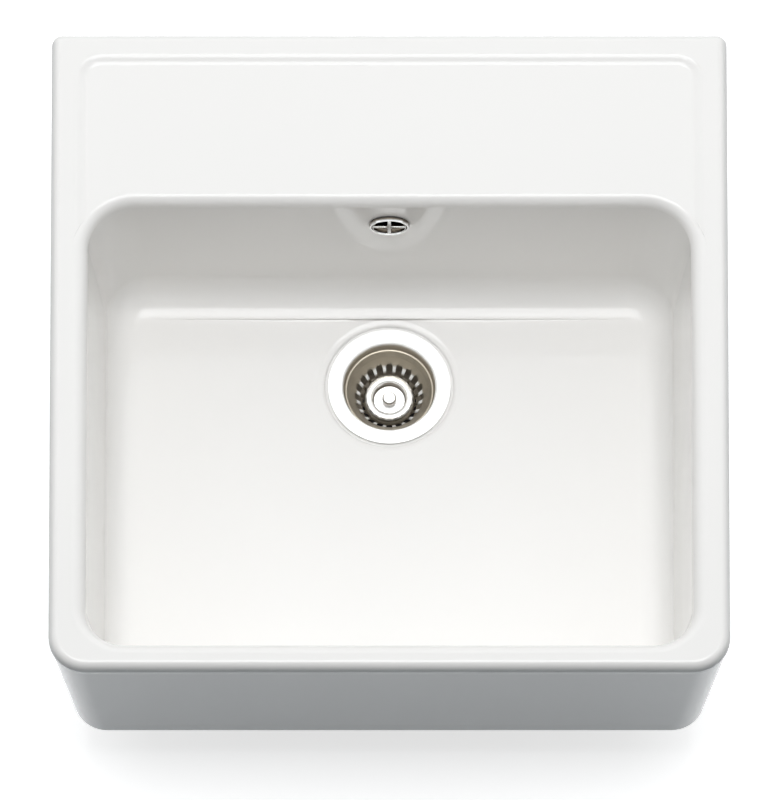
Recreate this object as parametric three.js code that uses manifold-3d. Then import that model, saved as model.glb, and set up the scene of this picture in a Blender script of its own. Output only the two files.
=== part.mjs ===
// Farmhouse apron front sink: one-piece glazed ceramic bowl with a tap ledge,
// a basket strainer waste and a round overflow with its pipe.
//
// Millimetres, +X right, +Y towards the back, +Z up.
// Origin: on the ground base face, under the middle of the bowl.

import * as THREE from 'three';
import { mergeVertices } from 'three/addons/utils/BufferGeometryUtils.js';
import Module from 'manifold-3d';

const wasm = await Module();
wasm.setup();

// ---------------------------------------------------------------- driving sizes

// Ceramic, outside
const WIDTH = 595;
const HEIGHT = 220;
const SIDE_DRAFT = 18;          // each side of the base is this much narrower than the rim
const FRONT_DRAFT = 24;
const FRONT_CORNER = 32;        // plan radius of the front corners, at the rim
const BACK_CORNER = 9.5;
const RIM_ROUND = 8;            // outer rounding of the rim
const RIM_BAND = 4;             // upright band below that rounding
const LIP = 1.2;                // the rim stands this far proud of the apron
const LIP_BLEND = 8;            // height over which it runs out
const BASE_ROUND = 4;

// Ceramic, inside
const SIDE_RIM = 31.5;          // rim widths, outside edge to bowl wall
const FRONT_RIM = 24;
const BOWL_LENGTH = 415;        // front to back at the opening
const BOWL_DEPTH = 190;         // rim to floor at the waste
const FLOOR_FALL = 3;
const WALL_DRAFT = 18;          // side and front walls lean in this far down to the floor
const BACK_LEAN = 7;            // the back wall leans in this far, from below the overflow to the floor
const LEAN_START = 140;         // height where it begins
const BOWL_BACK_CORNER = 41;
const BOWL_FRONT_CORNER = 33;
const FLOOR_FILLET = 30;
const SIDE_ROUND = 14;          // rounding from rim to bowl wall
const FRONT_ROUND = 12;
const BACK_ROUND = 10;

// Tap ledge
const LEDGE_DEPTH = 161;        // bowl wall to back face
const LEDGE_DROP = 3;           // the ledge lies this far below the rim
const LEDGE_BORDER = 30;        // back face to the flat ledge
const LEDGE_SLOPE = 11;         // width of the soft slope round the ledge
const LEDGE_CORNER = 13;
const LEDGE_THICKNESS = 22;
const SKIRT_HEIGHT = 60;        // back skirt below the ledge, measured from the rim
const SKIRT_THICKNESS = 22;
const CHEEK_THICKNESS = 26;     // side cheeks that run down to the base
const BACK_WALL = 24;           // bowl's back wall
const HOLLOW_ROUND = 4;         // rounding of the hollow's ceiling
const KNOCKOUT_RADIUS = 17.5;   // blind tap holes under the ledge
const KNOCKOUT_DEPTH = 9;
const KNOCKOUT_SPACING = 100;

// Waste
const WASTE_TO_BACK_WALL = 98; // waste centre to the bowl's back wall
const HOLE_RADIUS = 44.5;
const SEAT_RADIUS = 56.5;
const SEAT_DROP = 3;
const SEAT_SLOPE = 9;           // soft ring of glaze around the seat
const FLANGE_RADIUS = 54.5;
const SHEET = 1.2;              // steel of the flange cup
const GASKET = 1.5;
const CUP_DEPTH = 45;           // floor to cup bottom
const CUP_HUB_RADIUS = 9;
const CUP_DRAIN_RADIUS = 19.5;
const CUP_SPOKES = 6;
const CUP_SPOKE_WIDTH = 4.5;
const UNDER_SEAT = 1;           // depth and radius of the flat cut into the base for the gasket below
const UNDER_SEAT_RADIUS = 60;
const UNDER_GASKET = 4;
const BODY_WALL = 4.5;
const SPIGOT_RADIUS = 23.9;     // 1 1/2 inch pipe thread
const SPIGOT_BORE = 20.4;
const SPIGOT_LENGTH = 27;
const BODY_DEPTH = 53;          // base face to the spigot's shoulder
const BOSS_RADIUS = 9;
const BOSS_GAP = 3;             // cup hub to boss, taken up by the clamp screw
const BOSS_HEIGHT = 21;
const WEB = 3;
const INSERT_RADIUS = 5.5;
const INSERT_LENGTH = 12;
const SCREW_RADIUS = 3;
const SCREW_HEAD_RADIUS = 7;
const SCREW_HEAD = 3.5;
const SCREW_LENGTH = 28;

// Basket strainer
const BASKET_RADIUS = 39;
const BASKET_DROP = 10;         // basket rim below the floor
const BASKET_SHEET = 1;
const BASKET_DEPTH = 26;        // basket rim to basket bottom
const BAND_TOP_RADIUS = 32;   // slotted band, outer and inner end
const BAND_END_RADIUS = 23.8;
const BAND_TOP_DROP = 9.6;
const SLOTS = 20;
const SLOT_WIDTH = 5.6;
const CAP_RADIUS = 21.2;
const CAP_HEIGHT = 10.5;
const WELL_RADIUS = 15.2;
const WELL_FLOOR_RADIUS = 12.2;
const KNOB_RADIUS = 6.1;
const KNOB_HEIGHT = 8.5;
const PIN_RADIUS = 2.6;
const PIN_HEAD_RADIUS = 4.2;
const PIN_HEAD = 2.2;
const COLLAR_RADIUS = 17;
const SEAL_RADIUS = 24;
const SEAL_CORE = 12;

// Overflow
const OVERFLOW_DROP = 50;       // rim to overflow centre
const OVERFLOW_HOLE = 15;
const GRILLE_RADIUS = 18;
const GRILLE_HEIGHT = 3.5;
const GRILLE_OPENING = 13;
const GRILLE_BAR = 3.2;
const GRILLE_BAR_DEPTH = 2.2;
const SLEEVE_WALL = 1.4;
const FRONT_SEAL = 1;
const REAR_GASKET = 3;
const ELBOW_FLANGE = 21;
const ELBOW_WALL = 3;
const ELBOW_LENGTH = 33;        // rear gasket to the elbow's closed end
const ELBOW_DROP = 42;          // overflow centre to the elbow's lower end
const PIPE_RADIUS = 10;
const PIPE_WALL = 1.6;
const PIPE_BEND = 34;
const PIPE_INSERT = 13;         // pipe length inside the elbow and inside the port
const PORT_REACH = 64;          // waste centre to the port's end
const PORT_LEVEL = -34;         // height of the port's centre line
const NUT_LENGTH = 15;
const NUT_RIM = 3;
const NUT_GRIPS = 12;
const GRIP_DEPTH = 1.4;
const CONE_SEAL = 4;

// Clearances and smoothness
const GAP = 0.3;
const SOCKET_GAP = 0.6;
const ROUND = 40;               // facets of a turned piece
const PLAIN_ROUND = 30;         // facets of a hidden one
const SMALL_ROUND = 20;
const CORNER_STEPS = 8;

// ---------------------------------------------------------------- derived places

const FRONT = -BOWL_LENGTH / 2 - FRONT_RIM;
const BOWL_BACK = BOWL_LENGTH / 2;
const BACK = BOWL_BACK + LEDGE_DEPTH;
const BOWL_HALF = WIDTH / 2 - SIDE_RIM;
const LEDGE_LEVEL = HEIGHT - LEDGE_DROP;
const LEDGE_UNDERSIDE = LEDGE_LEVEL - LEDGE_THICKNESS;
const WASTE_LEVEL = HEIGHT - BOWL_DEPTH;
const FLOOR_LEVEL = WASTE_LEVEL + FLOOR_FALL;
const WASTE_Y = BOWL_BACK - WASTE_TO_BACK_WALL;
const SEAT_LEVEL = WASTE_LEVEL - SEAT_DROP;
const FLANGE_UNDERSIDE = SEAT_LEVEL + GASKET;
const CUP_BOTTOM = WASTE_LEVEL - CUP_DEPTH;
const BASKET_RIM_LEVEL = WASTE_LEVEL - BASKET_DROP;
const BASKET_BOTTOM = BASKET_RIM_LEVEL - BASKET_DEPTH;
const CUP_SHELF = BASKET_RIM_LEVEL - BASKET_SHEET - GAP;
const OVERFLOW_LEVEL = HEIGHT - OVERFLOW_DROP;
const WALL_BACK = BOWL_BACK + BACK_WALL;
const ELBOW_START = WALL_BACK + REAR_GASKET;
const PIPE_Y = ELBOW_START + ELBOW_LENGTH - OVERFLOW_HOLE;
const SOCKET_RADIUS = PIPE_RADIUS + SOCKET_GAP;
const SOCKET_OUTER = SOCKET_RADIUS + ELBOW_WALL;
const ELBOW_END = OVERFLOW_LEVEL - ELBOW_DROP;
const PORT_END = WASTE_Y + PORT_REACH;
const BODY_TOP = UNDER_SEAT - UNDER_GASKET;

// ---------------------------------------------------------------- solids and meshes

// One closed skin: shared corners merged, empty triangles dropped.
function welded(geometry) {
  const bare = new THREE.BufferGeometry();
  bare.setAttribute('position', geometry.getAttribute('position').clone());
  if (geometry.index) bare.setIndex(geometry.index.clone());
  const merged = mergeVertices(bare, 1e-4);
  const index = merged.index.array;
  const kept = [];
  for (let i = 0; i < index.length; i += 3) {
    const [a, b, c] = [index[i], index[i + 1], index[i + 2]];
    if (a !== b && b !== c && c !== a) kept.push(a, b, c);
  }
  merged.setIndex(kept);
  return merged;
}

function toSolid(geometry) {
  const skin = welded(geometry);
  return new wasm.Manifold(new wasm.Mesh({
    numProp: 3,
    vertProperties: new Float32Array(skin.getAttribute('position').array),
    triVerts: new Uint32Array(skin.index.array),
  }));
}

function toGeometry(solid) {
  const mesh = solid.getMesh();
  const geometry = new THREE.BufferGeometry();
  geometry.setAttribute('position', new THREE.BufferAttribute(mesh.vertProperties, 3));
  geometry.setIndex(new THREE.BufferAttribute(mesh.triVerts, 1));
  return geometry;
}

function joined(...geometries) {
  return toGeometry(geometries.map(toSolid).reduce((sum, next) => sum.add(next)));
}

function cut(geometry, ...tools) {
  return toGeometry(tools.map(toSolid).reduce((rest, tool) => rest.subtract(tool), toSolid(geometry)));
}

// A turned piece about Z. The profile is [radius, height] pairs, anticlockwise,
// and closes on itself or on the axis.
function turned(profile, facets = ROUND) {
  const points = profile.map(([r, z]) => new THREE.Vector2(r, z));
  const onAxis = profile[0][0] === 0 && profile[profile.length - 1][0] === 0;
  if (!onAxis) points.push(points[0].clone());
  return new THREE.LatheGeometry(points, facets).rotateX(Math.PI / 2);
}

function ring(inner, outer, low, high, facets = ROUND) {
  return turned([[inner, low], [outer, low], [outer, high], [inner, high]], facets);
}

function rod(radius, low, high, facets = SMALL_ROUND) {
  return turned([[0, low], [radius, low], [radius, high], [0, high]], facets);
}

// Turns a piece built about Z so that its axis runs to the back.
function alongY(geometry) {
  return geometry.rotateX(-Math.PI / 2);
}

function box(width, length, low, high) {
  return new THREE.BoxGeometry(width, length, high - low).translate(0, 0, (low + high) / 2);
}

// Closed profile of a pressed sheet: its upper line from the middle outwards, and the same line
// moved down and out by the sheet.
function sheetProfile(line, sheet) {
  const moved = line.map((point, i) => {
    const before = line[Math.max(i - 1, 0)];
    const after = line[Math.min(i + 1, line.length - 1)];
    const normals = [];
    if (i > 0) normals.push(sideOf(before, point));
    if (i < line.length - 1) normals.push(sideOf(point, after));
    const sum = normals.reduce((a, b) => [a[0] + b[0], a[1] + b[1]]);
    const length = Math.hypot(...sum);
    const reach = sheet * normals.length / length;
    return [point[0] + sum[0] / length * reach, point[1] + sum[1] / length * reach];
  });
  return [...moved, ...[...line].reverse()];
}

function sideOf(a, b) {
  const length = Math.hypot(b[0] - a[0], b[1] - a[1]);
  return [(b[1] - a[1]) / length, -(b[0] - a[0]) / length];
}

function lerp(a, b, t) {
  return a + (b - a) * t;
}

function smooth(t) {
  const s = Math.min(Math.max(t, 0), 1);
  return s * s * (3 - 2 * s);
}

// ---------------------------------------------------------------- ceramic

// A level rounded rectangle, anticlockwise from above. Each point also has its outward direction,
// so a loop can be swollen or drawn in evenly.
function roundedLoop({ half, front, back, frontRadius, backRadius }) {
  const corners = [
    { x: half - frontRadius, y: front + frontRadius, r: frontRadius, start: -Math.PI / 2 },
    { x: half - backRadius, y: back - backRadius, r: backRadius, start: 0 },
    { x: -half + backRadius, y: back - backRadius, r: backRadius, start: Math.PI / 2 },
    { x: -half + frontRadius, y: front + frontRadius, r: frontRadius, start: Math.PI },
  ];
  return corners.flatMap(({ x, y, r, start }) => {
    const arc = [];
    for (let k = 0; k <= CORNER_STEPS; k++) {
      const angle = start + Math.PI / 2 * k / CORNER_STEPS;
      const out = [Math.cos(angle), Math.sin(angle)];
      arc.push({ x: x + r * out[0], y: y + r * out[1], out });
    }
    return arc;
  });
}

function level(loop, z) {
  return loop.map(({ x, y }) => new THREE.Vector3(x, y, z));
}

// Skin through loops of equal count, lowest first, with both ends closed flat.
function loft(loops) {
  const count = loops[0].length;
  const corners = loops.flat();
  const index = [];
  for (let j = 0; j + 1 < loops.length; j++) {
    for (let i = 0; i < count; i++) {
      const next = (i + 1) % count;
      const [a, b] = [j * count + i, j * count + next];
      index.push(a, b, b + count, a, b + count, a + count);
    }
  }
  for (const [first, up] of [[0, false], [(loops.length - 1) * count, true]]) {
    for (let i = 1; i + 1 < count; i++) {
      if (up) index.push(first, first + i, first + i + 1);
      else index.push(first, first + i + 1, first + i);
    }
  }
  const geometry = new THREE.BufferGeometry().setFromPoints(corners);
  geometry.setIndex(index);
  return geometry;
}

// Upright above the apron's top, drafted below it. The lip stands proud at the sides and the front.
function outerLoop(z, inset, lip = 0) {
  const apronTop = HEIGHT - RIM_ROUND;
  const down = Math.max(0, 1 - z / apronTop);
  return level(roundedLoop({
    half: WIDTH / 2 - SIDE_DRAFT * down - inset - lip,
    front: FRONT + FRONT_DRAFT * down + inset + lip,
    back: BACK - inset,
    frontRadius: FRONT_CORNER - inset - lip,
    backRadius: Math.max(BACK_CORNER - inset, 0.5),
  }), z);
}

// The block that the sink is cut from: drafted sides, proud rim, rounded edges.
function outerBlock() {
  const loops = [];
  const steps = 4;
  for (let k = 0; k <= steps; k++) {
    const angle = Math.PI / 2 * k / steps;
    loops.push(outerLoop(BASE_ROUND * (1 - Math.cos(angle)), BASE_ROUND * (1 - Math.sin(angle)), LIP));
  }
  const bandLow = HEIGHT - RIM_ROUND - RIM_BAND;
  for (let k = 0; k <= steps; k++) {
    loops.push(outerLoop(bandLow - LIP_BLEND * (1 - k / steps), 0, LIP * (1 - smooth(k / steps))));
  }
  const roundSteps = 5;
  for (let k = 0; k <= roundSteps; k++) {
    const angle = Math.PI / 2 * k / roundSteps;
    loops.push(outerLoop(HEIGHT - RIM_ROUND * (1 - Math.sin(angle)), RIM_ROUND * (1 - Math.cos(angle))));
  }
  return loft(loops);
}

function bowlLoop(z, inset) {
  const down = (HEIGHT - z) / (HEIGHT - FLOOR_LEVEL);
  return roundedLoop({
    half: BOWL_HALF - WALL_DRAFT * down - inset,
    front: FRONT + FRONT_RIM + WALL_DRAFT * down + inset,
    back: BOWL_BACK - BACK_LEAN * Math.max(0, (LEAN_START - z) / (LEAN_START - FLOOR_LEVEL)) - inset,
    frontRadius: Math.max(BOWL_FRONT_CORNER - inset, 0.5),
    backRadius: Math.max(BOWL_BACK_CORNER - inset, 0.5),
  });
}

// The bowl's mouth rounds over into the rim at its sides and front, and into the ledge at its back.
function mouthLoop(angle) {
  const start = HEIGHT - SIDE_ROUND;
  return bowlLoop(start, 0).map(({ x, y, out }) => {
    const towardsBack = smooth(out[1] / 0.6);
    const towardsFront = smooth(-out[1]);
    const side = lerp(SIDE_ROUND, FRONT_ROUND, towardsFront);
    const radius = lerp(side, BACK_ROUND, towardsBack);
    const top = lerp(HEIGHT, LEDGE_LEVEL + 0.05, towardsBack);
    const reach = radius * (1 - Math.cos(angle));
    return new THREE.Vector3(x + out[0] * reach, y + out[1] * reach, start + (top - start) * Math.sin(angle));
  });
}

function bowlCavity() {
  const loops = [];
  const drainRadius = SEAT_RADIUS + SEAT_SLOPE;
  const floor = bowlLoop(FLOOR_LEVEL, FLOOR_FILLET);
  const drain = floor.map(({ x, y }) => {
    const away = Math.hypot(x, y - WASTE_Y);
    return { x: x / away * drainRadius, y: WASTE_Y + (y - WASTE_Y) / away * drainRadius };
  });
  loops.push(level(drain, WASTE_LEVEL));
  loops.push(floor.map(({ x, y }, i) => new THREE.Vector3(
    lerp(drain[i].x, x, 0.5), lerp(drain[i].y, y, 0.5), lerp(WASTE_LEVEL, FLOOR_LEVEL, 0.6))));
  const steps = 6;
  for (let k = 0; k <= steps; k++) {
    const angle = Math.PI / 2 * k / steps;
    const z = FLOOR_LEVEL + FLOOR_FILLET * (1 - Math.cos(angle));
    loops.push(level(bowlLoop(z, FLOOR_FILLET * (1 - Math.sin(angle))), z));
  }
  loops.push(level(bowlLoop(LEAN_START, 0), LEAN_START));
  const mouthSteps = 6;
  for (let k = 0; k <= mouthSteps; k++) loops.push(mouthLoop(Math.PI / 2 * k / mouthSteps));
  loops.push(mouthLoop(Math.PI / 2).map(({ x, y }) => new THREE.Vector3(x, y, HEIGHT + RIM_ROUND)));
  return loft(loops);
}

// The ledge's shallow recess: a soft slope down from the rim. Its front end lies inside the bowl.
function ledgeRecess() {
  const loops = [];
  const steps = 5;
  for (let k = 0; k <= steps; k++) {
    const t = k / steps;
    loops.push(level(roundedLoop({
      half: BOWL_HALF + LEDGE_SLOPE * t,
      front: 0,
      back: BACK - LEDGE_BORDER + LEDGE_SLOPE * t,
      frontRadius: 0.5,
      backRadius: LEDGE_CORNER + LEDGE_SLOPE * t,
    }), LEDGE_LEVEL + LEDGE_DROP * smooth(t)));
  }
  loops.push(loops[steps].map(({ x, y }) => new THREE.Vector3(x, y, HEIGHT + RIM_ROUND)));
  return loft(loops);
}

function hollowHalf(z) {
  return WIDTH / 2 - SIDE_DRAFT * Math.max(0, 1 - z / (HEIGHT - RIM_ROUND)) - LIP - CHEEK_THICKNESS;
}

// Hollow under the ledge, closed behind by the skirt at the top and open to the back below it.
function ledgeHollow() {
  const corner = 14;
  const loops = [];
  const steps = 3;
  const hollowLoop = (z, inset) => level(roundedLoop({
    half: hollowHalf(z) - inset,
    front: WALL_BACK + inset,
    back: BACK - SKIRT_THICKNESS - inset,
    frontRadius: corner - inset,
    backRadius: corner - inset,
  }), z);
  loops.push(hollowLoop(-RIM_ROUND, 0));
  for (let k = 0; k <= steps; k++) {
    const angle = Math.PI / 2 * k / steps;
    const inset = HOLLOW_ROUND * (1 - Math.cos(angle));
    loops.push(hollowLoop(LEDGE_UNDERSIDE - HOLLOW_ROUND * (1 - Math.sin(angle)), inset));
  }
  return loft(loops);
}

function backOpening() {
  const top = HEIGHT - SKIRT_HEIGHT;
  const corner = 26;
  const half = hollowHalf(top);
  const low = hollowHalf(0);
  const outline = new THREE.Shape();
  outline.moveTo(-low, -RIM_ROUND);
  outline.lineTo(low, -RIM_ROUND);
  outline.lineTo(low, 0);
  outline.lineTo(half, top - corner);
  outline.absarc(half - corner, top - corner, corner, 0, Math.PI / 2, false);
  outline.absarc(-half + corner, top - corner, corner, Math.PI / 2, Math.PI, false);
  outline.lineTo(-low, 0);
  const depth = SKIRT_THICKNESS + 2 * corner;
  return new THREE.ExtrudeGeometry(outline, { depth, bevelEnabled: false, curveSegments: 6 })
    .rotateX(Math.PI / 2)
    .translate(0, BACK + corner / 2, 0);
}

function knockouts() {
  return [-1, 0, 1].map((place) =>
    rod(KNOCKOUT_RADIUS, LEDGE_UNDERSIDE - RIM_ROUND, LEDGE_UNDERSIDE + KNOCKOUT_DEPTH, SMALL_ROUND)
      .translate(place * KNOCKOUT_SPACING, (WALL_BACK + BACK - SKIRT_THICKNESS) / 2, 0));
}

// Soft ring, seat and hole for the waste, cut from the floor down through the base.
function wasteCut() {
  const over = WASTE_LEVEL + FLOOR_FALL;
  const outer = SEAT_RADIUS + SEAT_SLOPE;
  return turned([
    [0, -RIM_ROUND], [UNDER_SEAT_RADIUS, -RIM_ROUND], [UNDER_SEAT_RADIUS, UNDER_SEAT],
    [HOLE_RADIUS, UNDER_SEAT], [HOLE_RADIUS, SEAT_LEVEL - 1], [HOLE_RADIUS + 1, SEAT_LEVEL],
    [SEAT_RADIUS, SEAT_LEVEL], [SEAT_RADIUS + 1, WASTE_LEVEL - SEAT_DROP / 2],
    [SEAT_RADIUS + SEAT_SLOPE / 2, WASTE_LEVEL - SEAT_DROP / 8], [outer, WASTE_LEVEL + 0.1],
    [outer, over], [0, over],
  ]).translate(0, WASTE_Y, 0);
}

function ceramicBody() {
  const overflowHole = alongY(rod(OVERFLOW_HOLE, BOWL_BACK - SIDE_ROUND, WALL_BACK + SIDE_ROUND))
    .translate(0, 0, OVERFLOW_LEVEL);
  return cut(outerBlock(), ledgeRecess(), bowlCavity(), ledgeHollow(), backOpening(),
    ...knockouts(), wasteCut(), overflowHole);
}

// ---------------------------------------------------------------- waste

function wasteFlangeCup() {
  const rim = FLANGE_UNDERSIDE + SHEET;
  const mouth = BASKET_RADIUS + GAP;
  const line = [
    [SCREW_RADIUS + GAP, CUP_BOTTOM], [BAND_TOP_RADIUS - 7, CUP_BOTTOM],
    [BAND_TOP_RADIUS - 3.5, CUP_BOTTOM + 2], [BAND_TOP_RADIUS - 1, CUP_BOTTOM + 6],
    [BAND_TOP_RADIUS + 1.5, BASKET_BOTTOM + 5], [BAND_TOP_RADIUS + 3, BASKET_RIM_LEVEL - BAND_TOP_DROP],
    [mouth - 3.2, CUP_SHELF - 2], [mouth - 2.4, CUP_SHELF - 0.3], [mouth, CUP_SHELF],
    [mouth + 0.6, CUP_SHELF + 0.8], [mouth + 1.2, lerp(rim, CUP_SHELF, 0.55)], [mouth + 2, rim - 2.6],
    [mouth + 3, rim - 0.9], [HOLE_RADIUS + 1, rim], [FLANGE_RADIUS - 1, rim], [FLANGE_RADIUS, rim - 0.6],
  ];
  const cup = turned(sheetProfile(line, SHEET));
  const drains = [];
  for (let k = 0; k < CUP_SPOKES; k++) {
    drains.push(drainSector(Math.PI * 2 * k / CUP_SPOKES));
  }
  return cut(cup, ...drains).translate(0, WASTE_Y, 0);
}

// One opening of the cup's bottom, between two spokes.
function drainSector(turn) {
  const half = Math.PI / CUP_SPOKES;
  const trim = (radius) => half - Math.asin(CUP_SPOKE_WIDTH / 2 / radius);
  const outline = new THREE.Shape();
  outline.absarc(0, 0, CUP_DRAIN_RADIUS, -trim(CUP_DRAIN_RADIUS), trim(CUP_DRAIN_RADIUS), false);
  outline.absarc(0, 0, CUP_HUB_RADIUS, trim(CUP_HUB_RADIUS), -trim(CUP_HUB_RADIUS), true);
  const depth = 4 * SHEET;
  return new THREE.ExtrudeGeometry(outline, { depth, bevelEnabled: false, curveSegments: 5 })
    .translate(0, 0, CUP_BOTTOM - depth / 2)
    .rotateZ(turn);
}

function flangeGasket() {
  return ring(HOLE_RADIUS + 1.5, FLANGE_RADIUS - 2, SEAT_LEVEL, FLANGE_UNDERSIDE, PLAIN_ROUND)
    .translate(0, WASTE_Y, 0);
}

function underGasket() {
  return ring(HOLE_RADIUS + 1.5, FLANGE_RADIUS, BODY_TOP, UNDER_SEAT, PLAIN_ROUND)
    .translate(0, WASTE_Y, 0);
}

function wasteLowerBody() {
  const inner = HOLE_RADIUS + 2;
  const outer = inner + BODY_WALL;
  const waist = CUP_BOTTOM - 8;
  const spigotEnd = -BODY_DEPTH - SPIGOT_LENGTH;
  const shoulder = SPIGOT_BORE + BODY_WALL;
  const outside = toSolid(turned([
    [0, spigotEnd], [SPIGOT_RADIUS - 1, spigotEnd], [SPIGOT_RADIUS, spigotEnd + 1],
    [SPIGOT_RADIUS, -BODY_DEPTH], [SPIGOT_RADIUS + BODY_WALL, -BODY_DEPTH], [outer - 4, waist - 8],
    [outer, waist], [outer, BODY_TOP - 6], [FLANGE_RADIUS + 2, BODY_TOP - 5],
    [FLANGE_RADIUS + 2, BODY_TOP], [0, BODY_TOP],
  ], PLAIN_ROUND));
  const chamber = toSolid(turned([
    [0, spigotEnd - 1], [SPIGOT_BORE, spigotEnd - 1], [SPIGOT_BORE, -BODY_DEPTH],
    [shoulder, -BODY_DEPTH + BODY_WALL], [inner - 4, waist - 6], [inner, waist],
    [inner, BODY_TOP + 1], [0, BODY_TOP + 1],
  ], PLAIN_ROUND));
  const webLimit = toSolid(turned([
    [0, -BODY_DEPTH], [shoulder + 1, -BODY_DEPTH + BODY_WALL - 1], [inner - 2, waist - 6.6],
    [inner + 2, waist], [inner + 2, BODY_TOP], [0, BODY_TOP],
  ], PLAIN_ROUND));
  const bossTop = CUP_BOTTOM - SHEET - BOSS_GAP;
  const bossLow = bossTop - BOSS_HEIGHT;
  const webs = [0, 1, 2]
    .map((k) => toSolid(box(3 * inner, WEB, bossLow + 3, bossTop - 4).rotateZ(Math.PI * (k + 0.5) / 3)))
    .reduce((sum, web) => sum.add(web))
    .intersect(webLimit);
  const boss = toSolid(rod(BOSS_RADIUS, bossLow, bossTop));
  const port = toSolid(alongY(rod(SOCKET_OUTER, inner / 2, PORT_REACH)).translate(0, 0, PORT_LEVEL));
  const portBore = toSolid(
    alongY(rod(SOCKET_RADIUS, BOSS_RADIUS + 3, PORT_REACH + 1)).translate(0, 0, PORT_LEVEL));
  const screwBore = toSolid(turned([
    [0, bossLow - 1], [SCREW_RADIUS + GAP, bossLow - 1],
    [SCREW_RADIUS + GAP, bossTop - INSERT_LENGTH], [INSERT_RADIUS + GAP, bossTop - INSERT_LENGTH],
    [INSERT_RADIUS + GAP, bossTop + 1], [0, bossTop + 1],
  ], SMALL_ROUND));
  const shell = outside.add(port).subtract(chamber).add(webs).subtract(portBore);
  return toGeometry(shell.add(boss).subtract(screwBore)).translate(0, WASTE_Y, 0);
}

function brassInsert() {
  const top = CUP_BOTTOM - SHEET - BOSS_GAP;
  return ring(SCREW_RADIUS + GAP, INSERT_RADIUS, top - INSERT_LENGTH, top, SMALL_ROUND)
    .translate(0, WASTE_Y, 0);
}

function clampScrew() {
  const top = CUP_BOTTOM + SCREW_HEAD;
  const low = CUP_BOTTOM - SCREW_LENGTH;
  const screw = turned([
    [0, low], [SCREW_RADIUS - 1, low], [SCREW_RADIUS, low + 1], [SCREW_RADIUS, CUP_BOTTOM],
    [SCREW_HEAD_RADIUS, CUP_BOTTOM], [SCREW_HEAD_RADIUS, top - 1], [SCREW_HEAD_RADIUS - 1, top], [0, top],
  ], SMALL_ROUND);
  const slot = box(2 * SCREW_HEAD_RADIUS + 2, 1.6, top - 1.8, top + 1);
  return cut(screw, slot).translate(0, WASTE_Y, 0);
}

// ---------------------------------------------------------------- basket strainer

function basketShell() {
  const bandTop = BASKET_RIM_LEVEL - BAND_TOP_DROP;
  const line = [
    [PIN_RADIUS + GAP + 0.1, BASKET_BOTTOM], [BAND_END_RADIUS - 2.5, BASKET_BOTTOM],
    [BAND_END_RADIUS - 0.6, BASKET_BOTTOM + 1], [BAND_END_RADIUS, BASKET_BOTTOM + 3],
    [lerp(BAND_END_RADIUS, BAND_TOP_RADIUS, 0.5), lerp(BASKET_BOTTOM + 3, bandTop, 0.48)],
    [BAND_TOP_RADIUS, bandTop], [BAND_TOP_RADIUS + 1.6, bandTop + 2],
    [BASKET_RADIUS - 4.4, BASKET_RIM_LEVEL - 1.2], [BASKET_RADIUS - 3.6, BASKET_RIM_LEVEL],
    [BASKET_RADIUS, BASKET_RIM_LEVEL],
  ];
  const shell = turned(sheetProfile(line, BASKET_SHEET));
  const slots = [];
  for (let k = 0; k < SLOTS; k++) {
    slots.push(basketSlot().rotateZ(Math.PI * 2 * k / SLOTS));
  }
  return cut(shell, ...slots).translate(0, WASTE_Y, 0);
}

// One slot of the band: straight sides, following the band's slope.
function basketSlot() {
  const bandTop = BASKET_RIM_LEVEL - BAND_TOP_DROP;
  const inner = BAND_END_RADIUS - 1.2;
  const outer = BAND_TOP_RADIUS - 0.4;
  const drop = 3 * BASKET_SHEET;
  const side = new THREE.Shape();
  side.moveTo(inner, BASKET_BOTTOM - drop);
  side.lineTo(outer + drop, bandTop - drop);
  side.lineTo(outer, bandTop);
  side.lineTo(inner, bandTop);
  side.closePath();
  return new THREE.ExtrudeGeometry(side, { depth: SLOT_WIDTH, bevelEnabled: false })
    .rotateX(Math.PI / 2)
    .translate(0, SLOT_WIDTH / 2, 0);
}

function basketCap() {
  const top = BASKET_BOTTOM + CAP_HEIGHT;
  const line = [
    [PIN_RADIUS + GAP + 0.1, BASKET_BOTTOM + BASKET_SHEET], [WELL_FLOOR_RADIUS - 1, BASKET_BOTTOM + BASKET_SHEET],
    [WELL_FLOOR_RADIUS + 0.6, BASKET_BOTTOM + BASKET_SHEET + 1.2], [WELL_RADIUS, top - 1.8],
    [WELL_RADIUS + 1.2, top - 0.5], [lerp(WELL_RADIUS, CAP_RADIUS, 0.5), top],
    [CAP_RADIUS - 1.1, top - 0.6], [CAP_RADIUS, top - 2], [CAP_RADIUS, top - 4.5],
  ];
  return turned(sheetProfile(line, BASKET_SHEET)).translate(0, WASTE_Y, 0);
}

function basketKnob() {
  const low = BASKET_BOTTOM + BASKET_SHEET;
  const dome = low + KNOB_HEIGHT;
  const pocket = PIN_HEAD_RADIUS + GAP;
  const pocketTop = low + GAP + PIN_HEAD + GAP;
  const profile = [[0, pocketTop], [pocket, pocketTop], [pocket, low], [KNOB_RADIUS - 0.8, low],
    [KNOB_RADIUS - 1.2, lerp(low, dome, 0.3)], [KNOB_RADIUS, lerp(low, dome, 0.5)]];
  const steps = 5;
  const crown = dome - lerp(low, dome, 0.5);
  for (let k = 1; k < steps; k++) {
    const angle = Math.PI / 2 * k / steps;
    profile.push([KNOB_RADIUS * Math.cos(angle), lerp(low, dome, 0.5) + crown * Math.sin(angle)]);
  }
  profile.push([0, dome]);
  return turned(profile, SMALL_ROUND).translate(0, WASTE_Y, 0);
}

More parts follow.
